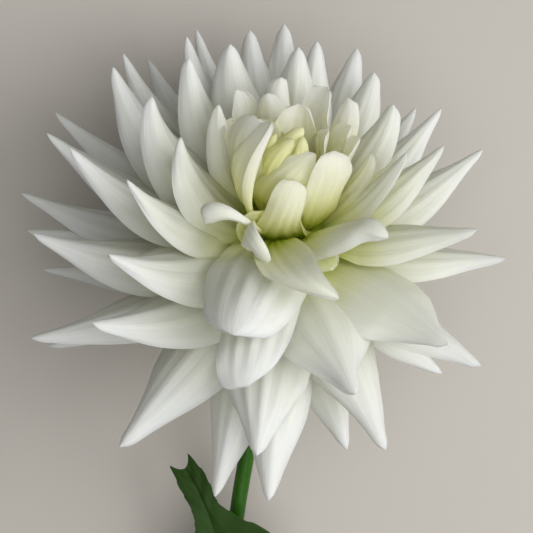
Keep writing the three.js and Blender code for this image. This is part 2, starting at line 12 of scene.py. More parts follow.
import bpy
import numpy as np
from bpy.types import ID, ColorRampElements, Curve, Material, Mesh, Node, NodeTree, Object
from bpy.types import NodeSocket as Socket
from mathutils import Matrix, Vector


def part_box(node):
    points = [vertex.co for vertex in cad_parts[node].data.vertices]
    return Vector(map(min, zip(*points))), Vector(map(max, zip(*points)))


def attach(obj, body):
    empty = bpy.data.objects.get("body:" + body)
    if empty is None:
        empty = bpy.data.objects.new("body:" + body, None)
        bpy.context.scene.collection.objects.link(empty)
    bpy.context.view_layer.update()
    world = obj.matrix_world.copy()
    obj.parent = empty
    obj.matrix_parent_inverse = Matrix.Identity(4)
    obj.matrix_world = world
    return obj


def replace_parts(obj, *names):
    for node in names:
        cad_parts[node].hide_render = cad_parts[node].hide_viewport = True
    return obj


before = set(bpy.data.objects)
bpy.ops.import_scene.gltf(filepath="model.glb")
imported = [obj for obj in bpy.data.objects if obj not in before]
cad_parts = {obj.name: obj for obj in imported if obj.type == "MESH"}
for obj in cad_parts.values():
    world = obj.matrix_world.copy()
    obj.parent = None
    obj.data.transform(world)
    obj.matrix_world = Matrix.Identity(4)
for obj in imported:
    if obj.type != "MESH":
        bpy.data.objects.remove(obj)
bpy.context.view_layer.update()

log = logging.getLogger("dahlia")

Array = np.ndarray
Triple = tuple[float, float, float]

MM = 0.001  # metres in a millimetre
BODY = "root"
BLADE_UV = "blade"
UV_UNIT = 100.0  # millimetres to one unit of a blade's map
GOLDEN_ANGLE = math.radians(137.508)
LEAN = 52.0  # degrees that the bloom's axis leans from upright towards +Y
AXIS_SWAY = 0.03  # and its small sideways part
DOME_RADIUS = 13.0

FOOT_SHARE = 0.78  # angle of a foot from the axis, as a share of its tip's
FOOT_PUSH = 0.25  # share of an overlap that each of two close feet gives way by
NO_GAP = 1e-6  # least distance that a push is divided by
UPRIGHT = 0.15  # sine of the angle from the axis under which a blade counts as upright
FACE_IN = 0.3  # how far an upright blade's face is turned away from its foot
CURVE_POINTS = 200  # points that a drawn line is measured on

# Shares of a blade's length
HOOK_START = 0.72  # from here on a hook turns down
ROLL_END = 0.35  # from here on a roll is full
FOLD_END = 0.3  # and a fold
SLANT_END = 0.5  # and a slant
TWIST_STILL = 0.4  # where a twist turns the blade neither way
TIP_THIN = 0.05  # the tip thins out over this share
CURL_STATIONS = (0.0, 0.15, 0.35, 0.65, 0.85, 0.97, 1.0)  # where the angle it closes across is set
# The four shares at which a feature starts, is full, starts to fade and has gone.
CREASE_SPAN = (0.0, 0.35, 0.85, 1.0)
PLEAT_SPAN = (0.0, 0.25, 0.62, 0.97)
WAVE_SPAN = (0.0, 0.3, 0.75, 0.95)
TIP_SPAN = (0.6, 0.85, 0.93, 1.0)

CLAW_CURL, NECK_CURL = 150.0, 60.0  # degrees that a blade closes across at the first two stations
CREASE_WIDTH = 0.12  # half width of the crease, as a share of the blade's
BLUNT_POWER = 10  # how suddenly a blunt end closes
RIM_POWER = 4  # how suddenly a blade thins out towards its margins
LEAST_HALF = 0.5  # least half width of a blade, in mm
PLEATS, PLEAT_SHIFT = 5, 0.6  # waves across a blade, and radians that they may shift by
WAVE_TURNS, WAVE_LEAN = 1.6, 0.15  # waves along a margin, and across half the blade
WAVE_POWER = 3  # how close to the margin they stay
DENT_DEPTH, DENT_TURNS = 0.35, 1.1  # the long dents along the middle, in mm and in waves
TIP_WAVES = ((1.4, 1.0), (3.7, 0.5))  # waves across a tip, and their share of its raggedness
TIP_SEED = 1000  # added to a blade's seed for its tip


def unit(vectors: Array) -> Array:
    """Return a vector, or each row of vectors, at length one."""
    return vectors / np.linalg.norm(vectors, axis=-1, keepdims=True)


def ease(x: Array, start: float, end: float) -> Array:
    """Return a soft step from 0 at x = start to 1 at x = end."""
    t = np.clip((x - start) / (end - start), 0.0, 1.0)
    return t * t * (3.0 - 2.0 * t)


def window(x: Array, span: tuple[float, float, float, float]) -> Array:
    """Return a soft hill: it starts, is full, starts to fade and has gone at the four x of the span."""
    return ease(x, *span[:2]) * (1 - ease(x, *span[2:]))


def aim(heading: float, rise: float) -> Array:
    """Return the unit vector at a heading round from +X and a rise above level, in degrees."""
    turn, lift = math.radians(heading), math.radians(rise)
    level = math.cos(lift)
    return np.array([level * math.cos(turn), level * math.sin(turn), math.sin(lift)])


AXIS = unit(np.array([AXIS_SWAY, math.sin(math.radians(LEAN)), math.cos(math.radians(LEAN))]))


class Side(Enum):
    """The sides of the bloom that the petal nodes are named after."""

    UPPER_LEFT = "upper_left"
    TOP = "top"
    RIGHT = "right"
    FRONT = "front"
    LEFT = "left"
    UNDER = "under"


@dataclass(frozen=True)
class Outline:
    """The outline of a flattened blade.

    Attributes:
        widest: Share of the length where it is widest.
        point: How sharply it narrows beyond that.
        blunt: Share of the width that stays to the tip.
        claw: Width of its foot, as a share of the greatest.
        neck: How long the blade stays narrow above its foot.
    """

    widest: float = 0.5
    point: float = 1.1
    blunt: float = 0.18
    claw: float = 0.24
    neck: float = 1.25


OUTLINES = {
    Side.UPPER_LEFT: Outline(0.5, 1.25, 0.24),
    Side.TOP: Outline(0.55, 0.9, 0.4),
    Side.RIGHT: Outline(0.46, 1.7, 0.22),
    Side.FRONT: Outline(0.44, 1.6, 0.26),
    Side.LEFT: Outline(0.46, 1.75, 0.2),
    Side.UNDER: Outline(0.5, 1.1, 0.18),
}


@dataclass(frozen=True)
class Petal:
    """One petal: where its tip is aimed, how big it is and how it bends.

    Attributes:
        heading: Degrees round from +X towards +Y, as seen from the receptacle.
        rise: Degrees above level.
        reach: Distance from the receptacle's middle to the tip.
        width: Greatest width of the flattened blade.
        arch: Degrees that the blade bends back from foot to tip; negative bends inwards.
        hook: Degrees that the last quarter or so turns down.
        cup: Degrees that the blade closes across; negative closes it backwards.
        roll: Degrees that the blade is turned about its own length.
        twist: Degrees more that it turns by the tip.
        bow: Degrees that the blade bends sideways.
        ridge: Degrees that each half turns at a crease along the middle, the way that the cup does.
        fold: Degrees that the far margin is folded over, and fold_near the near one.
        fold_start: Share of the half width at which a fold starts.
        pinch: Degrees that the spout at the tip closes across.
        outline: Its outline, where it isn't the usual one of its side.
        pleat: Height of the lengthwise pleats.
        wave: Height of the waves along the margins.
        ragged: How far parts of the tip run ahead of the rest.
        slant: How far the far margin runs ahead of the near one, as a share of the distance between.
        line: Four points that pull the blade's middle line into a curve of its own, in mm from
            the middle of the receptacle, in place of heading, rise and reach.
        facing: Heading and rise that the inner face of such a blade looks towards.
        rests: Whether the blade lies with its lowest point on the surface.
        white: Whether an inner floret is as white as the petals.
        green: How far the green and yellow of its foot reach, as a multiple of the usual.
    """

    heading: float
    rise: float
    reach: float
    width: float
    arch: float = 35.0
    hook: float = 0.0
    cup: float = -80.0
    roll: float = 0.0
    twist: float = 0.0
    bow: float = 0.0
    ridge: float = 7.0
    fold: float = 0.0
    fold_near: float = 0.0
    fold_start: float = 0.45
    pinch: float = 210.0
    outline: Outline | None = None
    pleat: float = 0.3
    wave: float = 0.5
    ragged: float = 1.0
    slant: float = 0.0
    line: tuple[Triple, ...] | None = None
    facing: tuple[float, float] | None = None
    rests: bool = False
    white: bool = False
    green: float = 1.0


def aimed(*places: tuple[float, ...], **bends: object) -> tuple[Petal, ...]:
    """Return plain petals from heading, rise, reach, width and arch, with what they share."""
    return tuple(Petal(*place, **bends) for place in places)


def drawn(width: float, line: tuple[Triple, ...], facing: tuple[float, float], outline: Outline,
          **bends: object) -> Petal:
    """Return a petal that follows a drawn line, with its width, facing and outline."""
    return Petal(0, 0, 0, width, line=line, facing=facing, outline=outline, **bends)


def young(heading: float, rise: float, reach: float, width: float, **bends: object) -> Petal:
    """Return a young floret, aimed like any petal, with soft and uneven margins."""
    looks = {"arch": -25, "outline": Outline(0.55, 0.6, 0.5), "pleat": 0.6, "wave": 1.2, "ragged": 1.6}
    return Petal(heading, rise, reach, width, **{**looks, **bends})


# Heading and reach were measured at the tips in the photo, where they show, and the rest is given one by
# one.
PETALS: dict[Side, tuple[Petal, ...]] = {
    Side.UPPER_LEFT: (
        Petal(133, 0, 86, 27, arch=-55, roll=10),
        Petal(129, -10, 91, 20, arch=-35),
        Petal(114, -8, 83, 24, arch=-35),
        Petal(111, -18, 90, 20, arch=-20),
        Petal(116, 6, 73, 24, arch=-45),
        Petal(131, 24, 72, 27, arch=-60, roll=18, ridge=10),
        Petal(133, 40, 63, 24, arch=-55, roll=34, ridge=10, bow=10),
        Petal(114, 24, 57, 19, arch=-40, roll=15),
    ),
    Side.TOP: aimed(
        (104, -4, 74, 25, -25), (98, -16, 83, 20, -15), (85, -4, 71, 22, -15), (80, -12, 77, 19, -15),
        (69, -18, 82, 20, -15), (62, -10, 72, 21, -20), (52, 6, 63, 21, -20),
    ),
    Side.RIGHT: (
        Petal(41, -12, 78, 24, arch=-10),
        Petal(32, 14, 67, 26, arch=-10, green=1.1),
        Petal(26, -6, 80, 27, arch=-12, green=1.1),
        Petal(37, 36, 63, 24, arch=-12, green=1.1),
        Petal(4, 56, 61, 37, arch=20, hook=60, outline=Outline(0.42, 1.3, 0.3), green=1.15),
        Petal(5, 23, 71, 26, arch=5, bow=-6, green=1.1),
        Petal(357, 10, 78, 27, arch=5, bow=-6, green=1.1),
    ),
    Side.FRONT: (
        Petal(329, 36, 77, 44, arch=24, bow=-20, ridge=13, cup=-60, green=1.15,
              outline=Outline(0.42, 1.2, 0.22, 0.85)),
        Petal(329, 18, 82, 32, arch=25),
        Petal(296, 46, 76, 41, arch=35, ridge=11, wave=0.9),
        Petal(297, 22, 82, 34, arch=30, ridge=11, fold=-60, wave=1.0),
        drawn(19, ((-2, 2, 14), (-4, 1, 42), (3, -14, 60), (18, -17, 54)), (-80, 60),
              Outline(0.62, 0.9, 0.25), cup=-35, ridge=10, green=1.35),
        Petal(241, 62, 69, 37, arch=55, hook=20, cup=-75, pinch=120, pleat=0.8,
              outline=Outline(0.5, 0.6, 0.62)),
        Petal(256, 50, 72, 26, arch=45, hook=30, cup=-50, pinch=70, pleat=0.9, slant=0.6,
              outline=Outline(0.6, 0.6, 0.5), wave=1.0),
        Petal(263, 32, 81, 32, arch=30, pleat=0.8, outline=Outline(0.55, 1.3, 0.22)),
        Petal(267, 20, 90, 27, arch=25, outline=Outline(0.5, 1.2, 0.34)),
        Petal(255, 14, 90, 28, arch=20, ridge=10),
        Petal(231, 16, 90, 35, arch=12, ridge=12),
    ),
    Side.LEFT: (
        Petal(202, 34, 80, 38, arch=-30, ridge=12, bow=-15, wave=0.9),
        Petal(200, 6, 92, 30, arch=-15),
        Petal(183, 44, 77, 35, arch=-30, ridge=12, roll=8, bow=8, wave=0.9),
        Petal(177, 12, 86, 36, arch=-30, cup=-90),
        Petal(185, -22, 95, 25, arch=-10),
        Petal(168, -12, 98, 27, arch=-20),
        Petal(154, 0, 91, 27, arch=-20),
        Petal(149, -12, 97, 25, arch=-12),
        Petal(155, 18, 82, 31, arch=-35, ridge=12, bow=8, wave=0.8),
        Petal(157, 40, 71, 26, arch=-35, ridge=14, roll=12, bow=18, wave=0.9),
    ),
    Side.UNDER: aimed(
        (178, -46, 86, 24, 20), (156, -48, 83, 23, 15), (133, -50, 81, 23, 10), (109, -51, 80, 22, 10),
        (84, -51, 80, 22, 10), (58, -50, 81, 23, 10), (31, -48, 83, 23, 15), (3, -46, 86, 24, 20),
        rests=True,
    ),
}

# Petals that stand behind others, with no node of their own.
HIDDEN_PETALS = (
    Petal(125, -22, 92, 17, -10), Petal(89, -18, 86, 19, -10, outline=OUTLINES[Side.TOP]),
    *aimed((46, -22, 77, 20, -10), (322, -6, 73, 24, 20), (288, 6, 74, 24, 25), (232, 4, 85, 24, 15),
           (203, -8, 91, 22, 15), (176, -14, 95, 24, 5)),
)

# What the florets that close the throat share, and those that wrap the core.
LOW = {"outline": Outline(0.6, 0.5, 0.6), "cup": 30, "pinch": 60, "wave": 0.6}
CORE = {"outline": Outline(0.55, 0.8, 0.3), "cup": 110, "wave": 0.8, "green": 1.5}

# The larger florets round the heart, the first ones drawn one by one.
INNER_FLORETS = (
    # the tall one on the left that folds its near margin out
    drawn(25, ((-6, 9, 13), (-17, 13, 32), (-17, 28, 44), (-4, 41, 38)), (20, -30),
          Outline(0.45, 0.7, 0.35), cup=45, fold_near=-170, pinch=80, pleat=0.4, wave=1.2),
    # the one in front of the core that wraps it to the right
    drawn(17, ((-4, 8, 15), (-6, 14, 34), (2, 21, 42), (11, 30, 39)), (60, -30),
          Outline(0.5, 0.9, 0.3), cup=60, pinch=90, wave=0.9),
    # the hood over the throat
    drawn(14, ((1, 2, 12), (-3, 2, 32), (2, 11, 44), (5, 21, 41)), (90, -10),
          Outline(0.75, 0.6, 0.65, 2.4, 1.0), cup=35, fold_near=-160, fold_start=0.75, pinch=45,
          pleat=0.35, wave=0.9),
    # the broad one on the right with a round top
    drawn(18, ((8, 4, 12), (14, 11, 32), (19, 23, 43), (17, 31, 40)), (115, -20),
          Outline(0.6, 0.4, 0.6), cup=30, pinch=50, pleat=0.35, wave=1.0),
    # the small spoon on the left
    drawn(15, ((-5, 4, 14), (-8, 4, 42), (-15, 12, 49), (-25, 7, 42)), (90, -60),
          Outline(0.92, 0.4, 0.7, 0.18, 28.0), cup=190, pinch=250, pleat=0.1, ragged=0.3, white=True),
    # the one beside it that folds its margin in and hangs over the throat
    drawn(11, ((-8, 4, 14), (-15, 9, 36), (-12, 5, 54), (-5, -6, 43)), (-20, 50),
          Outline(0.6, 0.6, 0.5), cup=40, fold=150, fold_start=0.35, pinch=90, pleat=0.2, wave=0.9,
          white=True),
    # the low ones that close the throat
    drawn(15, ((-2, 5, 12), (-6, 6, 24), (-11, 8, 32), (-14, 9, 35)), (-60, 50), **LOW),
    drawn(15, ((0, 1, 12), (-2, -2, 24), (-1, -5, 32), (2, -9, 37)), (60, 60), **LOW),
    drawn(16, ((3, -1, 12), (8, -3, 22), (12, -5, 28), (17, -8, 31)), (60, 60), **LOW, white=True),
    # the broad one behind the tall one
    drawn(18, ((-4, 10, 12), (-15, 22, 28), (-18, 34, 36), (-9, 43, 34)), (20, -40),
          Outline(0.6, 0.5, 0.55), cup=40, pinch=60, wave=1.1),
    # the ones that wrap the core
    drawn(13, ((-3, 10, 15), (-7, 16, 30), (-5, 26, 42), (4, 35, 37)), (70, -20), **CORE, pinch=160),
    drawn(13, ((-1, 10, 15), (-4, 20, 30), (-1, 30, 40), (7, 39, 35)), (80, -20),
          **{**CORE, "cup": 120}, pinch=160),
    drawn(12, ((3, 9, 15), (6, 16, 32), (9, 26, 42), (7, 36, 37)), (120, -20), **CORE, pinch=150),
    drawn(12, ((-4, 11, 14), (-9, 22, 28), (-8, 31, 36), (-2, 37, 35)), (50, -20), **CORE, pinch=150),
    # the rest, behind and beside the core
    young(106, 9, 57, 19, cup=55, roll=-20, pinch=120),
    young(95, 12, 54, 17, roll=15),
    young(74, 6, 58, 18, cup=45, roll=25, pinch=110),
    young(66, 9, 57, 17, twist=30),
    young(83, 20, 52, 19, cup=60, roll=-10, pinch=130, wave=1.3, ragged=1.8),
    young(60, 18, 50, 18, cup=50, roll=20, pinch=110, wave=1.3, ragged=1.8),
    young(46, 30, 50, 17, arch=-20, roll=15),
    young(68, 27, 48, 16, cup=70, roll=25, pinch=140, pleat=0.5),
    young(54, 28, 51, 16, arch=-20, cup=40, roll=10, pinch=100, wave=1.3, ragged=1.8),
    young(90, 7, 59, 16, arch=-20, twist=-30),
    young(115, 20, 50, 18, arch=-35, cup=55, roll=-15, pinch=120, pleat=0.3),
    young(100, 24, 48, 17, arch=-30, cup=60, pinch=130, pleat=0.3),
    young(38, 22, 54, 16, arch=-15, twist=25),
)


class Nodes:
    """A node tree under construction.

    Attributes:
        group: The tree itself.
    """

    def __init__(self, group: NodeTree) -> None:
        """Take a tree to build in."""
        self.group = group

    def add(self, kind: str, settings: dict | None = None, **links: object) -> Node:
        """Add a node and fill its sockets.

        Args:
            kind: The node's type.
            settings: Properties of the node itself.
            links: Socket names, with underscores for spaces, and what goes into each.

        Returns:
            The node.
        """
        node = self.group.nodes.new(kind)
        for name, value in (settings or {}).items():
            setattr(node, name, value)
        for name, value in links.items():
            self.fill(node.inputs[name.replace("_", " ")], value)
        return node

    def fill(self, socket: Socket, value: object) -> None:
        """Link another socket into this one, or set its value."""
        if isinstance(value, Socket):
            self.group.links.new(value, socket)
        else:
            socket.default_value = value


class Layout(Enum):
    """What a finish is laid out on."""

    BLADE = "blade"
    OBJECT = "object"


# Noise scales along each axis, on a blade's map and on an object in metres.
BLADE_LINES = (90.0, 2.5, 1.0)
OBJECT_LINES = (900.0, 25.0, 900.0)
OBJECT_PATCHES = (40.0, 15.0, 40.0)
ROUGH_PATCHES = 60.0
ROUGH_SPREAD = 0.08  # how far the roughness strays from its mean
VEIN_RANGE = (0.3, 0.7)  # part of the noise that the veins' colour follows
GLOW_REACH = (1.0, 1.0, 0.6)  # how far red, green and blue light spread inside, as shares


@dataclass(frozen=True)
class PlantFinish:
    """A procedural finish for living plant tissue, with the fine lines along its length.

    Attributes:
        name: Name of the material.
        stops: Colours along the blade as (distance from the foot in mm, colour) pairs.
        vein: How much the lengthwise lines change the colour.
        relief: Depth of the lengthwise lines in metres.
        roughness: Mean roughness.
        glow: Share of light that spreads inside.
        depth: How far that light spreads, in metres.
        shine: How much light the surface mirrors.
        sheer: Share of light that passes through to the other side.
        layout: Whether the lines follow the blade's own map or run along the object's Y.
    """

    name: str
    stops: tuple[tuple[float, Triple], ...]
    vein: float = 0.06
    relief: float = 0.0002
    roughness: float = 0.55
    glow: float = 0.25
    depth: float = 0.002
    shine: float = 0.35
    sheer: float = 0.0
    layout: Layout = Layout.BLADE

    def make(self) -> Material:
        """Build the material.

        Returns:
            The material. On a blade it reads the UV map, which is laid out in tenths of a metre.
        """
        material = bpy.data.materials.new(self.name)
        material.use_nodes = True
        tree = Nodes(material.node_tree)
        if self.layout is Layout.BLADE:
            place = tree.add("ShaderNodeUVMap", {"uv_map": BLADE_UV}).outputs["UV"]
            lines = self._noise(tree, place, BLADE_LINES)
            tone = tree.add("ShaderNodeSeparateXYZ", Vector=place).outputs["Y"]
        else:
            place = tree.add("ShaderNodeTexCoord").outputs["Object"]
            lines = self._noise(tree, place, OBJECT_LINES)
            tone = self._noise(tree, place, OBJECT_PATCHES)
        ramp = tree.add("ShaderNodeValToRGB", Fac=tone)
        self._set_ramp(ramp.color_ramp.elements)
        veins = tree.add("ShaderNodeMapRange", From_Min=VEIN_RANGE[0], From_Max=VEIN_RANGE[1],
                         To_Min=1.0 - self.vein, To_Max=1.0, Value=lines)
        tint = tree.add("ShaderNodeMix", {"data_type": "RGBA", "blend_type": "MULTIPLY"}, Factor=1.0,
                        A=ramp.outputs["Color"], B=veins.outputs["Result"])
        bump = tree.add("ShaderNodeBump", Strength=0.6, Distance=self.relief, Height=lines)
        shader = tree.group.nodes["Principled BSDF"]
        surface = {
            "Base Color": tint.outputs["Result"], "Normal": bump.outputs["Normal"],
            "Roughness": self._patches(tree), "Subsurface Weight": self.glow,
            "Subsurface Radius": GLOW_REACH, "Subsurface Scale": self.depth,
            "Specular IOR Level": self.shine,
        }
        for name, value in surface.items():
            tree.fill(shader.inputs[name], value)
        if self.sheer > 0:
            through = tree.add("ShaderNodeBsdfTranslucent", Color=tint.outputs["Result"])
            mix = tree.add("ShaderNodeMixShader", Fac=self.sheer)
            tree.fill(mix.inputs[1], shader.outputs["BSDF"])
            tree.fill(mix.inputs[2], through.outputs["BSDF"])
            tree.fill(tree.group.nodes["Material Output"].inputs["Surface"], mix.outputs["Shader"])
        return material

    def _set_ramp(self, elements: ColorRampElements) -> None:
        """Lay the finish's colours along the ramp."""
        elements.remove(elements[-1])
        for i, (distance, colour) in enumerate(self.stops):
            stop = elements[0] if i == 0 else elements.new(distance / UV_UNIT)
            stop.position = distance / UV_UNIT
            stop.color = (*colour, 1.0)

    @staticmethod
    def _noise(tree: Nodes, place: Socket, scale: Triple) -> Socket:
        """Return a noise stretched by a different amount along each axis."""
        stretch = tree.add("ShaderNodeMapping", Scale=scale, Vector=place)
        return tree.add("ShaderNodeTexNoise", Scale=1.0, Detail=4.0, Roughness=0.6,
                        Vector=stretch.outputs["Vector"]).outputs["Fac"]

    def _patches(self, tree: Nodes) -> Socket:
        """Return a roughness that varies in soft patches."""
        place = tree.add("ShaderNodeTexCoord").outputs["Object"]
        patches = tree.add("ShaderNodeTexNoise", Scale=ROUGH_PATCHES, Vector=place)
        spread = tree.add("ShaderNodeMapRange", To_Min=self.roughness - ROUGH_SPREAD,
                          To_Max=self.roughness + ROUGH_SPREAD, Value=patches.outputs["Fac"])
        return spread.outputs["Result"]


GREEN_FOOT = (0.45, 0.60, 0.02)
PETAL_FINISH = PlantFinish(
    "petal_white",
    ((4.0, GREEN_FOOT), (11.0, (0.64, 0.71, 0.09)), (19.0, (0.80, 0.81, 0.47)), (30.0, (0.84, 0.85, 0.74)),
     (62.0, (0.84, 0.85, 0.82))),
    vein=0.07, relief=0.0003, glow=0.35, depth=0.0012, sheer=0.3,
)
INNER_FINISH = PlantFinish(
    "petal_cream",
    ((2.0, GREEN_FOOT), (10.0, (0.76, 0.81, 0.12)), (17.0, (0.91, 0.91, 0.46)), (29.0, (0.95, 0.95, 0.74)),
     (44.0, (0.95, 0.95, 0.91))),
    vein=0.07, relief=0.0003, glow=0.4, depth=0.0012, sheer=0.55,
)
HEART_FINISH = PlantFinish(
    "floret_yellow",
    ((0.0, (0.42, 0.48, 0.04)), (6.0, (0.74, 0.74, 0.12)), (14.0, (0.88, 0.86, 0.32)),
     (25.0, (0.92, 0.92, 0.62))),
    glow=0.4, depth=0.0012, sheer=0.35,
)
GREEN_FINISH = PlantFinish(
    "stem_green",
    ((0.0, (0.10, 0.20, 0.03)), (30.0, (0.08, 0.17, 0.025)), (100.0, (0.06, 0.14, 0.02))),
    vein=0.25, relief=0.0003, roughness=0.42, glow=0.05, depth=0.001,
)
STEM_FINISH = PlantFinish(
    "stem_skin",
    ((30.0, (0.015, 0.07, 0.003)), (50.0, (0.025, 0.10, 0.004)), (70.0, (0.04, 0.13, 0.006))),
    vein=0.25, relief=0.0002, roughness=0.38, glow=0.05, depth=0.001, shine=0.25, layout=Layout.OBJECT,
)
THROAT_FINISH = PlantFinish(
    "throat_green",
    ((30.0, (0.38, 0.52, 0.03)), (50.0, (0.46, 0.60, 0.04)), (70.0, (0.54, 0.66, 0.06))),
    vein=0.15, roughness=0.6, glow=0.2, layout=Layout.OBJECT,
)
LEAF_FINISH = PlantFinish(
    "leaf_green",
    ((0.0, (0.03, 0.08, 0.004)), (60.0, (0.018, 0.052, 0.003))),
    vein=0.3, relief=0.0003, roughness=0.6, glow=0.03, depth=0.001, shine=0.18,
)


@dataclass
class Skin:
    """Two faces of a thin piece, as grids of points that share their rims.

    Attributes:
        top: Points of the upper face, rows from foot to tip.
        under: Points of the lower face.
        length: Length in mm that the map gives the rows.
        width: Width in mm that it gives the lanes.
    """

    top: Array
    under: Array
    length: float
    width: float

    def mesh(self, name: str, centre: Array) -> Mesh:
        """Write the closed mesh in metres.

        Args:
            name: Name of the mesh.
            centre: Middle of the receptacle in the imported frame, in mm.

        Returns:
            The mesh, with its lengths laid out in the blade UV map.
        """
        rows, lanes = self.top.shape[:2]
        upper = np.arange(rows * lanes).reshape(rows, lanes)
        inner = np.zeros((rows, lanes), bool)
        inner[1:-1, 1:-1] = True
        lower = upper.copy()
        lower[inner] = rows * lanes + np.arange(inner.sum())
        points = np.vstack([self.top.reshape(-1, 3), self.under[inner]])
        quads = np.stack([upper[:-1, :-1], upper[:-1, 1:], upper[1:, 1:], upper[1:, :-1]], -1).reshape(-1, 4)
        backs = np.stack([lower[:-1, :-1], lower[1:, :-1], lower[1:, 1:], lower[:-1, 1:]], -1).reshape(-1, 4)
        faces = np.vstack([quads, backs])
        mesh = bpy.data.meshes.new(name)
        mesh.from_pydata(((points + centre) * MM).tolist(), [], faces.tolist())
        along = np.repeat(np.linspace(0, self.length / UV_UNIT, rows), lanes)
        across = np.tile(np.linspace(0, self.width / UV_UNIT, lanes), rows)
        flat = np.stack([across, along], -1)
        flat = np.vstack([flat, flat.reshape(rows, lanes, 2)[inner]])
        layer = mesh.uv_layers.new(name=BLADE_UV)
        layer.data.foreach_set("uv", flat[faces.reshape(-1)].astype(np.float32).ravel())
        mesh.shade_smooth()
        rim = np.concatenate([~inner.ravel(), np.zeros(inner.sum(), bool)])
        ends = np.empty(len(mesh.edges) * 2, np.int32)
        mesh.edges.foreach_get("vertices", ends)
        crisp = mesh.attributes.new("sharp_edge", "BOOLEAN", "EDGE")
        crisp.data.foreach_set("value", rim[ends].reshape(-1, 2).all(axis=1))
        return mesh


@dataclass
class Part:
    """A part of the flower, or what it is seen with, laid out round the receptacle.

    Attributes:
        centre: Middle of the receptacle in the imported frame, in mm.
    """

    centre: Array


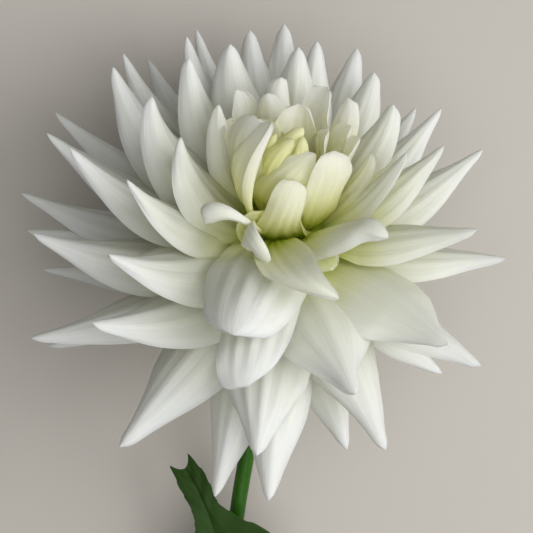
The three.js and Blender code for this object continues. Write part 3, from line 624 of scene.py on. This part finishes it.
@dataclass
class Bloom(Part):
    """The petals and the larger inner florets, each a closed blade of its own.

    Attributes:
        rows: Points along a blade.
        lanes: Points across a blade.
        thickness: Thickness of a blade at its middle, in mm.
        claw_share: How far from the dome's middle a foot starts, as a share of its radius.
        backward: Greatest angle from the axis at which a foot stands, in degrees.
        claw_spacing: Least distance between two feet, in mm.
        claw_rounds: How often feet that are too close push each other apart.
    """

    rows: int = 44
    lanes: int = 21
    thickness: float = 0.55
    claw_share: float = 0.7
    backward: float = 100.0
    claw_spacing: float = 5.2
    claw_rounds: int = 40

    def foot_direction(self, petal: Petal) -> Array:
        """Return the direction of a petal's foot: nearer the axis than its tip points."""
        tip = aim(petal.heading, petal.rise)
        polar = math.acos(float(np.clip(tip @ AXIS, -1, 1)))
        outward = unit(tip - AXIS * (tip @ AXIS))
        foot = min(polar * FOOT_SHARE, math.radians(self.backward))
        return AXIS * math.cos(foot) + outward * math.sin(foot)

    def spine(self, petal: Petal, foot: Array) -> tuple[Array, ...]:
        """Bend the middle line of a petal from its foot to its tip.

        Args:
            petal: The petal.
            foot: Direction of its foot.

        Returns:
            Shares of the length, points, directions along, across and out of the blade, and the
            length of the line.
        """
        base = foot * DOME_RADIUS * self.claw_share
        chord = aim(petal.heading, petal.rise) * petal.reach - base
        along = unit(chord)
        face = AXIS - along * (AXIS @ along)
        if np.linalg.norm(face) < UPRIGHT:
            face = face - FACE_IN * (foot - along * (foot @ along))
        face = unit(face)
        side = np.cross(along, face)
        u = np.linspace(0, 1, self.rows)[:, None]
        bend = np.radians(petal.arch) * (0.5 - u) - np.radians(petal.hook) * ease(u, HOOK_START, 1)
        sway = np.radians(petal.bow) * (0.5 - u)
        tangent = np.cos(bend) * (np.cos(sway) * along + np.sin(sway) * side) + np.sin(bend) * face
        steps = (tangent[1:] + tangent[:-1]) / 2 * np.diff(u, axis=0)
        line = np.vstack([np.zeros(3), np.cumsum(steps, axis=0)])
        turn = rotation_between(unit(line[-1]), along)
        scale = np.linalg.norm(chord) / np.linalg.norm(line[-1])
        tangent = tangent @ turn.T
        across = unit(np.cross(tangent, face @ turn.T))
        return u, base + line @ turn.T * scale, tangent, across, np.cross(across, tangent), scale

    def drawn_spine(self, petal: Petal) -> tuple[Array, ...]:
        """Follow the curve that is given for a petal of its own shape.

        Args:
            petal: The petal.

        Returns:
            The same as spine().
        """
        knots = np.array(petal.line, float)
        fine = np.linspace(0, 1, CURVE_POINTS)[:, None]
        weights = ((1 - fine) ** 3, 3 * fine * (1 - fine) ** 2, 3 * fine ** 2 * (1 - fine), fine ** 3)
        curve = sum(weight * knot for weight, knot in zip(weights, knots))
        run = np.concatenate([[0], np.cumsum(np.linalg.norm(np.diff(curve, axis=0), axis=1))])
        u = np.linspace(0, 1, self.rows)[:, None]
        line = np.hstack([np.interp(u * run[-1], run, column) for column in curve.T])
        tangent = unit(np.gradient(line, axis=0))
        normal = np.empty_like(line)
        ahead = aim(*petal.facing)
        for i, along in enumerate(tangent):
            ahead = unit(ahead - along * (ahead @ along))
            normal[i] = ahead
        return u, line, tangent, np.cross(tangent, normal), normal, run[-1]

    def half_width(self, petal: Petal, u: Array) -> Array:
        """Return half the flattened width along a petal."""
        shape = petal.outline or Outline()
        opened = np.sin(np.pi / 2 * np.clip(u / shape.widest, 0, 1)) ** shape.neck
        rising = shape.claw + (1 - shape.claw) * opened
        q = np.clip((u - shape.widest) / (1 - shape.widest), 0, 1)
        falling = (1 - shape.blunt) * np.cos(np.pi / 2 * q) ** shape.point
        falling = falling + shape.blunt * np.sqrt(np.clip(1 - q ** BLUNT_POWER, 0, 1))
        return np.maximum(petal.width / 2 * np.where(u < shape.widest, rising, falling), LEAST_HALF)

    def blade(self, petal: Petal, foot: Array | None, seed: int) -> Skin:
        """Wrap a petal's blade round its middle line.

        Args:
            petal: The petal.
            foot: Direction of its foot; not used where the petal has a line of its own.
            seed: Number that its small unevenness is drawn from.

        Returns:
            The blade's two faces.
        """
        u, line, tangent, across, normal, length = (self.drawn_spine(petal) if petal.line
                                                    else self.spine(petal, foot))
        turn = np.radians(petal.roll + petal.twist * (u - TWIST_STILL)) * ease(u, 0, ROLL_END)
        across, normal = (across * np.cos(turn) + normal * np.sin(turn),
                          normal * np.cos(turn) - across * np.sin(turn))
        v = np.linspace(-1, 1, self.lanes)
        angle = self._closing(petal, u, v)
        sideways, rising = self._unroll(angle, self.half_width(petal, u))
        out = -np.sin(angle)[..., None] * across[:, None] + np.cos(angle)[..., None] * normal[:, None]
        points = line[:, None] + sideways[..., None] * across[:, None] + rising[..., None] * normal[:, None]
        points = points + out * self._unevenness(petal, u, v, seed)[..., None]
        ahead = self._tip_steps(petal, u, v, seed) + petal.slant * sideways * ease(u, 0, SLANT_END)
        points = points + tangent[:, None] * ahead[..., None]
        if petal.rests:
            points[..., 2] *= -(self.centre[2] - self.thickness / 2) / points[..., 2].min()
        depth = self.thickness / 2 * (1 - np.abs(v) ** RIM_POWER) * np.clip((1 - u) / TIP_THIN, 0, 1)
        rise = out * depth[..., None]
        return Skin(points + rise, points - rise, length / petal.green, petal.width)

    @staticmethod
    def _closing(petal: Petal, u: Array, v: Array) -> Array:
        """Return the angle of the blade at each point across it: its cup, crease and folds."""
        cup, pinch = petal.cup, math.copysign(petal.pinch, petal.cup)
        curl = np.interp(u, CURL_STATIONS,
                         (CLAW_CURL, NECK_CURL, 0.5 * cup, cup, 0.5 * (cup + pinch), pinch, pinch))
        crease = np.radians(petal.ridge) * window(u, CREASE_SPAN)
        angle = np.radians(curl / 2) * v + math.copysign(1, cup) * crease * np.tanh(v / CREASE_WIDTH)
        edge = ease(np.abs(v), petal.fold_start, 1) * np.sign(v)
        folds = np.radians(np.where(v > 0, petal.fold, petal.fold_near))
        return angle + folds * edge * ease(u, 0, FOLD_END)

    def _unroll(self, angle: Array, half: Array) -> tuple[Array, Array]:
        """Walk across the blade at even steps, turning by the angle at each point."""
        step = half * 2.0 / (self.lanes - 1)
        walks = []
        for turned in (np.cos(angle), np.sin(angle)):
            pace = (turned[:, 1:] + turned[:, :-1]) / 2 * step
            walk = np.hstack([np.zeros((len(half), 1)), np.cumsum(pace, axis=1)])
            walks.append(walk - walk[:, self.lanes // 2, None])
        return walks[0], walks[1]

    def _unevenness(self, petal: Petal, u: Array, v: Array, seed: int) -> Array:
        """Return how far each point stands off the plain blade: pleats, dents and waved margins."""
        phase = np.random.default_rng(seed).uniform(0, 2 * np.pi, 4)
        reach = window(u, PLEAT_SPAN)
        middle = 1 - v ** 2
        pleats = petal.pleat * np.cos(PLEATS * np.pi * v + PLEAT_SHIFT * np.sin(phase[0])) * middle
        rolling = 2 * np.pi * (WAVE_TURNS * u + WAVE_LEAN * v) + phase[1]
        margin = np.sin(rolling + (v > 0) * phase[2]) * np.abs(v) ** WAVE_POWER
        dents = DENT_DEPTH * np.sin(2 * np.pi * DENT_TURNS * u + phase[3]) * middle
        return (pleats + dents) * reach + petal.wave * margin * window(u, WAVE_SPAN)

    @staticmethod
    def _tip_steps(petal: Petal, u: Array, v: Array, seed: int) -> Array:
        """Return how far each point near the tip runs ahead, so that the tip isn't even."""
        phases = np.random.default_rng(seed + TIP_SEED).uniform(0, 2 * np.pi, len(TIP_WAVES))
        steps = sum(height * np.sin(turns * np.pi * v + phase)
                    for (turns, height), phase in zip(TIP_WAVES, phases))
        return petal.ragged * steps * window(u, TIP_SPAN)

    def spread(self, feet: Array) -> Array:
        """Push feet that stand too close together apart on the dome.

        Args:
            feet: Directions of the feet.

        Returns:
            Their directions after it.
        """
        for _ in range(self.claw_rounds):
            gaps = feet[:, None] - feet[None, :]
            apart = np.linalg.norm(gaps, axis=2) * DOME_RADIUS
            np.fill_diagonal(apart, self.claw_spacing)
            short = np.clip(self.claw_spacing - apart, 0, None)
            push = gaps / np.maximum(apart, NO_GAP)[..., None] * short[..., None] * FOOT_PUSH
            feet = unit(feet + push.sum(axis=1))
        return feet

    def build(self) -> None:
        """Make every petal and inner floret, in the order of their nodes."""
        white, cream = PETAL_FINISH.make(), INNER_FINISH.make()
        grown = [(f"white_petal_{side.value}_{i}", f"petal_{side.value}_{i}", "petal", white,
                  replace(petal, outline=petal.outline or OUTLINES[side]))
                 for side, group in PETALS.items() for i, petal in enumerate(group, start=1)]
        grown += [(f"inner_floret_{i}", None, "heart", white if petal.white else cream, petal)
                  for i, petal in enumerate(INNER_FLORETS, start=1)]
        grown += [(f"back_petal_{i}", None, "petal", white, petal)
                  for i, petal in enumerate(HIDDEN_PETALS, start=1)]
        standing = {number: self.foot_direction(petal) for number, (*_, petal) in enumerate(grown)
                    if not petal.line}
        feet = dict(zip(standing, self.spread(np.array(list(standing.values())))))
        for number, (name, node, slot, finish, petal) in enumerate(grown):
            skin = self.blade(petal, feet.get(number), number)
            piece = add_piece(name, skin.mesh(name, self.centre), finish)
            if node:
                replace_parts(piece, node)
        log.info("bloom: %d petals", len(grown))


def rotation_between(start: Array, end: Array) -> Array:
    """Return the matrix of the shortest turn from one unit vector to another."""
    turn = Vector(start).rotation_difference(Vector(end))
    return np.array(turn.to_matrix())


def linked(name: str, data: ID) -> Object:
    """Return a new object that shows the data, linked to the scene."""
    made = bpy.data.objects.new(name, data)
    bpy.context.scene.collection.objects.link(made)
    return made


def add_piece(name: str, mesh: Mesh, finish: Material) -> Object:
    """Link a mesh as a finished piece that rides on the flower's one body.

    Args:
        name: Name of the piece.
        mesh: Its mesh, in place.
        finish: Its material.

    Returns:
        The piece.
    """
    mesh.materials.clear()
    mesh.materials.append(finish)
    piece = linked(name, mesh)
    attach(piece, BODY)
    return piece


class Tree(Nodes):
    """A Geometry Nodes tree under construction, with inputs that have names.

    Attributes:
        source: Its Group Input node.
        target: Its Group Output node.
    """

    def __init__(self, name: str) -> None:
        """Start an empty tree that takes and gives geometry."""
        super().__init__(bpy.data.node_groups.new(name, "GeometryNodeTree"))
        for end in ("INPUT", "OUTPUT"):
            self.group.interface.new_socket("Geometry", in_out=end, socket_type="NodeSocketGeometry")
        self.source = self.group.nodes.new("NodeGroupInput")
        self.target = self.group.nodes.new("NodeGroupOutput")

    def number(self, name: str, whole: bool = False) -> Socket:
        """Add an input.

        Args:
            name: Its name.
            whole: Whether it is a whole number.

        Returns:
            The socket that gives its value inside the tree.
        """
        kind = "NodeSocketInt" if whole else "NodeSocketFloat"
        self.group.interface.new_socket(name, in_out="INPUT", socket_type=kind)
        return self.source.outputs[name]

    def math(self, operation: str, *values: object) -> Socket:
        """Return the result of one sum on sockets or numbers."""
        node = self.add("ShaderNodeMath", {"operation": operation})
        for socket, value in zip(node.inputs, values):
            self.fill(socket, value)
        return node.outputs[0]

    def finish(self, geometry: Socket, material: Material) -> None:
        """End the tree: make instances real and dress the result."""
        real = self.add("GeometryNodeRealizeInstances", Geometry=geometry)
        dressed = self.add("GeometryNodeSetMaterial", Geometry=real.outputs[0], Material=material)
        self.fill(self.target.inputs[0], dressed.outputs[0])

    def grow(self, start: Mesh | Curve, sizes: dict[str, float]) -> Mesh:
        """Run the tree once on a start shape.

        Args:
            start: The mesh or curve that the tree begins from.
            sizes: A value for each named input.

        Returns:
            The plain mesh that results.
        """
        carrier = linked("start", start)
        modifier = carrier.modifiers.new("grow", "NODES")
        modifier.node_group = self.group
        keys = {item.name: item.identifier for item in self.group.interface.items_tree
                if item.in_out == "INPUT"}
        for name, value in sizes.items():
            modifier[keys[name]] = value
        scene = bpy.context.evaluated_depsgraph_get()
        mesh = bpy.data.meshes.new_from_object(carrier.evaluated_get(scene), depsgraph=scene,
                                               preserve_all_data_layers=True)
        carrier.modifiers.remove(modifier)
        bpy.data.objects.remove(carrier)
        return mesh


FLORET_ROWS, FLORET_LANES = 12, 9
FLORET_POWER = 7  # how suddenly a rolled floret closes at its tip
FLORET_ARC = 0.8  # share of a half circle that its middle line follows
FLORET_THIN = 0.1  # share of its length over which the tip thins out
FLORET_WIDTH = 7.0  # what its map spans across, in mm


@dataclass
class Heart(Part):
    """The closed middle: small rolled florets that stand on a spiral, with the inner ones shortest.

    Attributes:
        count: How many florets there are.
        bed: Radius of the dome they stand on, in mm.
        seat: Distance up the axis to the middle of that dome, in mm.
        spread: Degrees from the axis at which the outermost stand.
        tilt: Share of that angle that a floret leans by, and sway its uneven part in radians.
        inner_length: Length of the innermost, as a share of the outermost.
        length: Length of the outermost, in mm.
        uneven: How much taller or shorter a floret may be, as a share.
        half_width: Half its flattened width, in mm, and tip_half what is left of it at the tip.
        claw: Width of its foot, as a share.
        widest: Share of the length where it is widest.
        curl: Degrees that each half is rolled by, and tip_curl how many more at the tip.
        belly: How far its middle stands out, and nod how far its tip bends back in, in mm.
        skin: Half its thickness, in mm.
        seed: Number that the small differences are drawn from.
    """

    count: int = 24
    bed: float = 6.5
    seat: float = 11.0
    spread: float = 62.0
    tilt: float = 0.42
    sway: float = 0.10
    inner_length: float = 0.8
    length: float = 28.0
    uneven: float = 0.1
    half_width: float = 6.0
    tip_half: float = 0.15
    claw: float = 0.4
    widest: float = 0.6
    curl: float = 95.0
    tip_curl: float = 60.0
    belly: float = 5.0
    nod: float = 6.0
    skin: float = 0.3
    seed: int = 7

    def floret(self) -> Skin:
        """Return one rolled floret, standing on +Z with its hollow towards -X."""
        u = np.linspace(0, 1, FLORET_ROWS)[:, None]
        v = np.linspace(-1, 1, FLORET_LANES)
        opened = self.claw + (1 - self.claw) * np.sin(np.pi / 2 * np.clip(u / self.widest, 0, 1))
        half = self.half_width * opened * np.sqrt(1 - u ** FLORET_POWER) + self.tip_half
        curl = np.radians(self.curl + self.tip_curl * ease(u, self.widest, 1))
        across = half * np.sin(curl * v) / curl
        bulge = half * (1 - np.cos(curl * v)) / curl
        lean = self.belly * np.sin(FLORET_ARC * np.pi * u) - self.nod * u ** 2
        level = np.zeros_like(across)
        points = np.stack([lean - bulge, across, self.length * u + level], -1)
        normal = np.stack([np.cos(curl * v), np.sin(curl * v), level], -1)
        depth = self.skin * (1 - v ** RIM_POWER) * np.clip((1 - u) / FLORET_THIN, 0, 1)
        rise = normal * depth[..., None]
        return Skin(points - rise, points + rise, self.length, FLORET_WIDTH)

    def tree(self, finish: Material) -> Tree:
        """Return the tree that stands copies of the floret on a golden-angle spiral."""
        tree = Tree("floret_spiral")
        count = tree.number("Count", whole=True)
        bed, spread = tree.number("Bed Radius"), tree.number("Spread")
        inner, seed = tree.number("Inner Length"), tree.number("Seed", whole=True)
        line = tree.add("GeometryNodeMeshLine", Count=count)
        index = tree.add("GeometryNodeInputIndex").outputs[0]
        share = tree.math("DIVIDE", tree.math("ADD", index, 0.5), count)
        polar = tree.math("MULTIPLY", tree.math("SQRT", share), spread)
        turn = tree.math("MULTIPLY", index, GOLDEN_ANGLE)
        level = tree.math("MULTIPLY", bed, tree.math("SINE", polar))
        place = tree.add("ShaderNodeCombineXYZ", X=tree.math("MULTIPLY", level, tree.math("COSINE", turn)),
                         Y=tree.math("MULTIPLY", level, tree.math("SINE", turn)),
                         Z=tree.math("MULTIPLY", bed, tree.math("COSINE", polar)))
        moved = tree.add("GeometryNodeSetPosition", Geometry=line.outputs[0], Position=place.outputs[0])
        dots = tree.add("GeometryNodeMeshToPoints", Mesh=moved.outputs[0])
        sway = self.draw(tree, seed, -self.sway, self.sway)
        tilt = tree.math("ADD", tree.math("MULTIPLY", polar, self.tilt), sway)
        facing = tree.add("ShaderNodeCombineXYZ", X=0.0, Y=tilt, Z=turn)
        height = tree.math("ADD", inner, tree.math("MULTIPLY", share, tree.math("SUBTRACT", 1.0, inner)))
        vary = self.draw(tree, tree.math("ADD", seed, 1), 1 - self.uneven, 1 + self.uneven)
        size = tree.add("ShaderNodeCombineXYZ", X=height, Y=height, Z=tree.math("MULTIPLY", height, vary))
        grown = tree.add("GeometryNodeInstanceOnPoints", Points=dots.outputs[0],
                         Instance=tree.source.outputs["Geometry"], Scale=size.outputs[0])
        turner = tree.add("FunctionNodeEulerToRotation", Euler=facing.outputs[0])
        tree.fill(grown.inputs["Rotation"], turner.outputs[0])
        tree.finish(grown.outputs[0], finish)
        return tree

    @staticmethod
    def draw(tree: Tree, seed: Socket, low: float, high: float) -> Socket:
        """Return a number between two limits that is drawn anew for each floret."""
        node = tree.add("FunctionNodeRandomValue", {"data_type": "FLOAT"}, Seed=seed)
        tree.fill(node.inputs[2], low)
        tree.fill(node.inputs[3], high)
        return node.outputs[1]

    def build(self) -> None:
        """Grow the florets and turn them onto the bloom's axis."""
        finish = HEART_FINISH.make()
        start = self.floret().mesh("floret", np.zeros(3))
        sizes = {"Count": self.count, "Bed Radius": self.bed * MM, "Spread": math.radians(self.spread),
                 "Inner Length": self.inner_length, "Seed": self.seed}
        mesh = self.tree(finish).grow(start, sizes)
        turn = Vector((0, 0, 1)).rotation_difference(Vector(AXIS)).to_matrix().to_4x4()
        turn.translation = Vector((self.centre + AXIS * self.seat) * MM)
        mesh.transform(turn)
        mesh.name = "heart_florets"
        mesh.shade_smooth()
        piece = add_piece("heart_florets", mesh, finish)
        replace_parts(piece, "heart")
        log.info("heart: %d florets on a spiral", self.count)


STEM_CLEAR = 0.1  # room for its ridges above the surface, in mm
STEM_SUNK = 2.0  # how deep it stands in the dome, in mm
STEM_RINGS, STEM_SIDES = 160, 36
SWELL_POWER = 8.0  # how suddenly it widens at the bloom


@dataclass
class Stem(Part):
    """The cut stem: a ridged green tube that swells under the bloom.

    Attributes:
        radius: Radius along most of its length, in mm.
        flare: How much wider it is where it meets the bloom.
        ridge: How far a ridge stands out or a furrow goes in at most, in mm.
        grain: Noise scale of the ridges along each axis, on an object in metres.
        seed: Number that its unevenness is drawn from.
    """

    radius: float = 2.9
    flare: float = 0.4
    ridge: float = 0.18
    grain: Triple = (420.0, 35.0, 420.0)
    seed: int = 3

    def path(self) -> Curve:
        """Return the stem's middle line, from the bloom to the cut end."""
        low = self.radius + STEM_CLEAR - self.centre[2]
        knots = (-AXIS * (DOME_RADIUS - STEM_SUNK), -AXIS * 60 + (-4, 0, 0), np.array([-24, -115, low]),
                 np.array([-30, -238, low]))
        points = [Vector((self.centre + knot) * MM) for knot in knots]
        curve = bpy.data.curves.new("stem_line", "CURVE")
        curve.dimensions = "3D"
        spline = curve.splines.new("BEZIER")
        spline.bezier_points.add(1)
        start, start_pull, end_pull, end = points
        first, last = spline.bezier_points
        first.co, first.handle_right, first.handle_left = start, start_pull, 2 * start - start_pull
        last.co, last.handle_left, last.handle_right = end, end_pull, 2 * end - end_pull
        return curve

    def tree(self, finish: Material) -> Tree:
        """Return the tree that draws a ridged round profile along the line."""
        tree = Tree("stem_tube")
        radius, flare = tree.number("Radius"), tree.number("Flare")
        ridge, seed = tree.number("Ridge Height"), tree.number("Seed")
        even = tree.add("GeometryNodeResampleCurve", Curve=tree.source.outputs["Geometry"],
                        Count=STEM_RINGS)
        along = tree.add("GeometryNodeSplineParameter").outputs["Factor"]
        near = tree.math("POWER", tree.math("SUBTRACT", 1.0, along), SWELL_POWER)
        swell = tree.math("ADD", 1.0, tree.math("MULTIPLY", flare, near))
        profile = tree.add("GeometryNodeCurvePrimitiveCircle", Resolution=STEM_SIDES, Radius=1.0)
        tube = tree.add("GeometryNodeCurveToMesh", Curve=even.outputs[0], Profile_Curve=profile.outputs[0],
                        Scale=tree.math("MULTIPLY", radius, swell), Fill_Caps=True)
        place = tree.add("GeometryNodeInputPosition").outputs[0]
        stretch = tree.add("ShaderNodeVectorMath", {"operation": "MULTIPLY"}, Vector=place)
        tree.fill(stretch.inputs[1], self.grain)
        noise = tree.add("ShaderNodeTexNoise", {"noise_dimensions": "4D"}, W=seed, Scale=1.0, Detail=2.0,
                         Vector=stretch.outputs[0])
        lift = tree.math("MULTIPLY", tree.math("SUBTRACT", noise.outputs[0], 0.5), ridge)
        normal = tree.add("GeometryNodeInputNormal").outputs[0]
        offset = tree.add("ShaderNodeVectorMath", {"operation": "SCALE"}, Vector=normal, Scale=lift)
        ridged = tree.add("GeometryNodeSetPosition", Geometry=tube.outputs[0], Offset=offset.outputs[0])
        tree.finish(ridged.outputs[0], finish)
        return tree

    def build(self) -> None:
        """Grow the stem along its line."""
        finish = STEM_FINISH.make()
        sizes = {"Radius": self.radius * MM, "Flare": self.flare, "Ridge Height": 2 * self.ridge * MM,
                 "Seed": self.seed}
        mesh = self.tree(finish).grow(self.path(), sizes)
        mesh.name = "ridged_stem"
        mesh.shade_smooth()
        piece = add_piece("ridged_stem", mesh, finish)
        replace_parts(piece, "stem")
        log.info("stem: %d faces", len(mesh.polygons))


BLADE_START, BLADE_FULL, SPLIT_START = 0.12, 0.22, 0.85  # shares of the leaf's length
TOOTH_POWER = 6  # how close to the margin the teeth stay
MIDRIB_NARROW = 9  # how narrow the midrib's groove is
RIPPLES, RIPPLE_SLANT = 22, 1.5  # radians of the margin's waves along the leaf and across half of it
LEAF_MAP = (100.0, 40.0)  # what the leaf's map spans along and across, in mm


@dataclass
class Leaf(Part):
    """The one leaf left on the stem: toothed, veined, with a tip that is split.

    Attributes:
        rows: Points along the leaf.
        lanes: Points across it.
        thickness: Thickness at its middle, in mm.
        teeth: How many teeth a margin has room for, and tooth their depth as a share of the half width.
        veins: How many side veins a half has room for, vein_slant how many spacings they run up
            towards the margin, and vein their depth in mm.
        midrib: Depth of the midrib's groove, in mm.
        notch: Depth of the split at the tip, in mm.
        trough: How steeply the halves rise from the midrib.
        ripple: Height of the waves along the margins, in mm.
        line: Three points that pull its middle line into a curve, from the stem to the tip; the
            height of the first is above the surface.
        outline: Share of the length, and half the width on the left and on the right, in mm.
    """

    rows: int = 90
    lanes: int = 33
    thickness: float = 0.6
    teeth: int = 14
    tooth: float = 0.08
    veins: int = 9
    vein_slant: float = 0.9
    vein: float = 0.35
    midrib: float = 0.5
    notch: float = 4.0
    trough: float = 0.12
    ripple: float = 0.6
    line: tuple[Triple, ...] = ((-25.7, -160, 5), (-14, -112, -28), (-36.5, -80, -36))
    outline: tuple[Triple, ...] = (
        (0.0, 1.4, 1.4), (0.1, 1.4, 1.4), (0.16, 9, 9), (0.3, 19, 21), (0.45, 16, 24), (0.58, 11, 22),
        (0.68, 6, 10), (0.76, 5, 5), (0.9, 5.5, 5.5), (1.0, 4, 4),
    )

    def skin(self) -> Skin:
        """Return the leaf's two faces round its curved midrib."""
        u = np.linspace(0, 1, self.rows)[:, None]
        v = np.linspace(-1, 1, self.lanes)
        start, knee, tip = np.array(self.line)
        start = start - (0, 0, self.centre[2])
        rib = start * (1 - u) ** 2 + 2 * knee * u * (1 - u) + tip * u ** 2
        tangent = unit(2 * (knee - start) * (1 - u) + 2 * (tip - knee) * u)
        across = unit(np.cross(tangent, (0, 0, 1.0)))
        normal = np.cross(across, tangent)
        share, left, right = np.array(self.outline).T
        reach = np.where(v < 0, np.interp(u, share, left), np.interp(u, share, right)) * v
        blade = ease(u, BLADE_START, BLADE_FULL)
        reach = reach * (1 + self.tooth * (u * self.teeth % 1.0 - 0.5) * blade * np.abs(v) ** TOOTH_POWER)
        ahead = self.notch * (v ** 2 - 0.5) * ease(u, SPLIT_START, 1)
        ribs = np.abs((u * self.veins - self.vein_slant * np.abs(v)) % 1.0 - 0.5) * 2
        relief = self.vein * (ribs - 0.5) - self.midrib * np.exp(-(v * MIDRIB_NARROW) ** 2)
        wave = self.ripple * np.sin(u * RIPPLES + v * RIPPLE_SLANT) * v ** 2
        lift = self.trough * np.abs(reach) + (wave + relief) * blade
        points = (rib[:, None] + across[:, None] * reach[..., None] + tangent[:, None] * ahead[..., None]
                  + normal[:, None] * lift[..., None])
        half = normal[:, None] * (self.thickness / 2 * (1 - v ** RIM_POWER))[:, None]
        return Skin(points + half, points - half, *LEAF_MAP)

    def build(self) -> None:
        """Make the leaf."""
        mesh = self.skin().mesh("toothed_leaf", self.centre)
        piece = add_piece("toothed_leaf", mesh, LEAF_FINISH.make())
        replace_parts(piece, "leaf")
        log.info("leaf: %d faces", len(piece.data.polygons))


@dataclass
class Bracts(Part):
    """The ring of green bracts that fold back behind the bloom.

    Attributes:
        count: How many bracts there are.
        reach: Distance from the receptacle's middle to each tip, in mm.
        width: Greatest width of each, in mm.
        tip_polar: Degrees from the axis to the tips.
        foot_polar: Degrees from the axis to the feet.
        first: Degrees round the axis to the first.
        seed: Number that the first one's unevenness is drawn from.
    """

    count: int = 5
    reach: float = 34.0
    width: float = 9.0
    tip_polar: float = 132.0
    foot_polar: float = 150.0
    first: float = 20.0
    seed: int = 300

    def direction(self, turn: float, polar: float) -> Array:
        """Return the direction at a turn round the axis and an angle from it, in radians."""
        side = unit(np.cross((1, 0, 0), AXIS))
        side = side * math.cos(turn) + np.cross(AXIS, side) * math.sin(turn)
        return AXIS * math.cos(polar) + side * math.sin(polar)

    def build(self) -> None:
        """Make each bract as a piece of its own."""
        finish = GREEN_FINISH.make()
        bloom = Bloom(self.centre, rows=28, lanes=13)
        for i in range(self.count):
            turn = math.radians(360 / self.count * i + self.first)
            tip = self.direction(turn, math.radians(self.tip_polar))
            heading, rise = math.degrees(math.atan2(tip[1], tip[0])), math.degrees(math.asin(tip[2]))
            petal = Petal(heading, rise, self.reach, self.width, arch=40, cup=50, pleat=0.1, wave=0.2)
            skin = bloom.blade(petal, self.direction(turn, math.radians(self.foot_polar)), self.seed + i)
            name = f"green_bract_{i + 1}"
            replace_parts(add_piece(name, skin.mesh(name, self.centre), finish), f"bract_{i + 1}")
        log.info("bracts: %d", self.count)


@dataclass
class Studio(Part):
    """The plain surface, the soft lights and the camera.

    Attributes:
        height: How far the camera is above the receptacle, in mm.
        offset: How far to the side it stands, in mm.
        field_width: Width in mm of what it sees at the receptacle's height.
        sensor: Width of its sensor, in mm.
        far: How far it sees, in metres.
        bounces: How often light is passed on between the pale petals.
        half_side: Half the side of the surface, in metres.
        surface_colour: Colour of the surface, and surface_roughness its roughness.
        sky: Colour of the light from all round, and sky_strength its strength.
        lamps: Name, place beside the receptacle in metres, watts and side in metres of each light.
    """

    height: float = 600.0
    offset: tuple[float, float] = (-5.1, -6.8)
    field_width: float = 186.55
    sensor: float = 36.0
    far: float = 10.0
    bounces: int = 12
    half_side: float = 3.0
    surface_colour: tuple[float, float, float, float] = (0.46, 0.43, 0.39, 1.0)
    surface_roughness: float = 0.8
    sky: tuple[float, float, float, float] = (0.99, 1.0, 0.99, 1.0)
    sky_strength: float = 0.16
    lamps: tuple[tuple[str, Triple, float, float], ...] = (
        ("key", (0.85, 0.0, 0.6), 8.5, 0.8), ("fill", (0.2, -0.2, 1.0), 9.5, 1.2),
    )

    def build(self) -> None:
        """Set up the surface, the lights and the camera."""
        scene = bpy.context.scene
        self._surface()
        self._camera()
        for lamp in self.lamps:
            self._light(*lamp)
        world = bpy.data.worlds.new("studio")
        world.use_nodes = True
        background = world.node_tree.nodes["Background"].inputs
        background["Color"].default_value = self.sky
        background["Strength"].default_value = self.sky_strength
        scene.world = world
        scene.view_settings.view_transform = "Standard"
        scene.cycles.diffuse_bounces = self.bounces
        log.info("studio: surface, lights and camera")

    def _surface(self) -> None:
        """Lay the plain pale surface under the flower."""
        mesh = bpy.data.meshes.new("surface")
        side = self.half_side
        mesh.from_pydata([(-side, -side, 0), (side, -side, 0), (side, side, 0), (-side, side, 0)], [],
                         [(0, 1, 2, 3)])
        surface = linked("surface", mesh)
        material = bpy.data.materials.new("pale_surface")
        material.use_nodes = True
        shader = material.node_tree.nodes["Principled BSDF"].inputs
        shader["Base Color"].default_value = self.surface_colour
        shader["Roughness"].default_value = self.surface_roughness
        mesh.materials.append(material)

    def _camera(self) -> None:
        """Hang the camera over the bloom, looking straight down."""
        camera = linked("camera", bpy.data.cameras.new("camera"))
        bpy.context.scene.camera = camera
        camera.location = (self.centre + (*self.offset, self.height)) * MM
        camera.data.sensor_width = self.sensor
        camera.data.lens = self.sensor * self.height / self.field_width
        camera.data.clip_end = self.far

    def _light(self, name: str, place: Triple, power: float, side: float) -> None:
        """Add a square soft light that faces the bloom."""
        light = linked(name, bpy.data.lights.new(name, "AREA"))
        light.data.energy = power
        light.data.size = side
        light.location = Vector(place) + Vector(self.centre * MM)
        light.rotation_euler = Vector(place).to_track_quat("Z", "Y").to_euler()


def dress_receptacle() -> None:
    """Give the receptacle's own mesh the green finish."""
    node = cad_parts["receptacle"]
    node.data.materials.clear()
    node.data.materials.append(THROAT_FINISH.make())
    log.info("receptacle dressed")


def main() -> None:
    """Build the flower, then the studio round it."""
    logging.basicConfig(level=logging.INFO, format="%(name)s: %(message)s")
    low = np.array(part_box("receptacle")[0]) / MM
    centre = low + DOME_RADIUS
    Bloom(centre).build()
    Heart(centre).build()
    Bracts(centre).build()
    Stem(centre).build()
    Leaf(centre).build()
    dress_receptacle()
    Studio(centre).build()


if __name__ == "__main__":
    main()
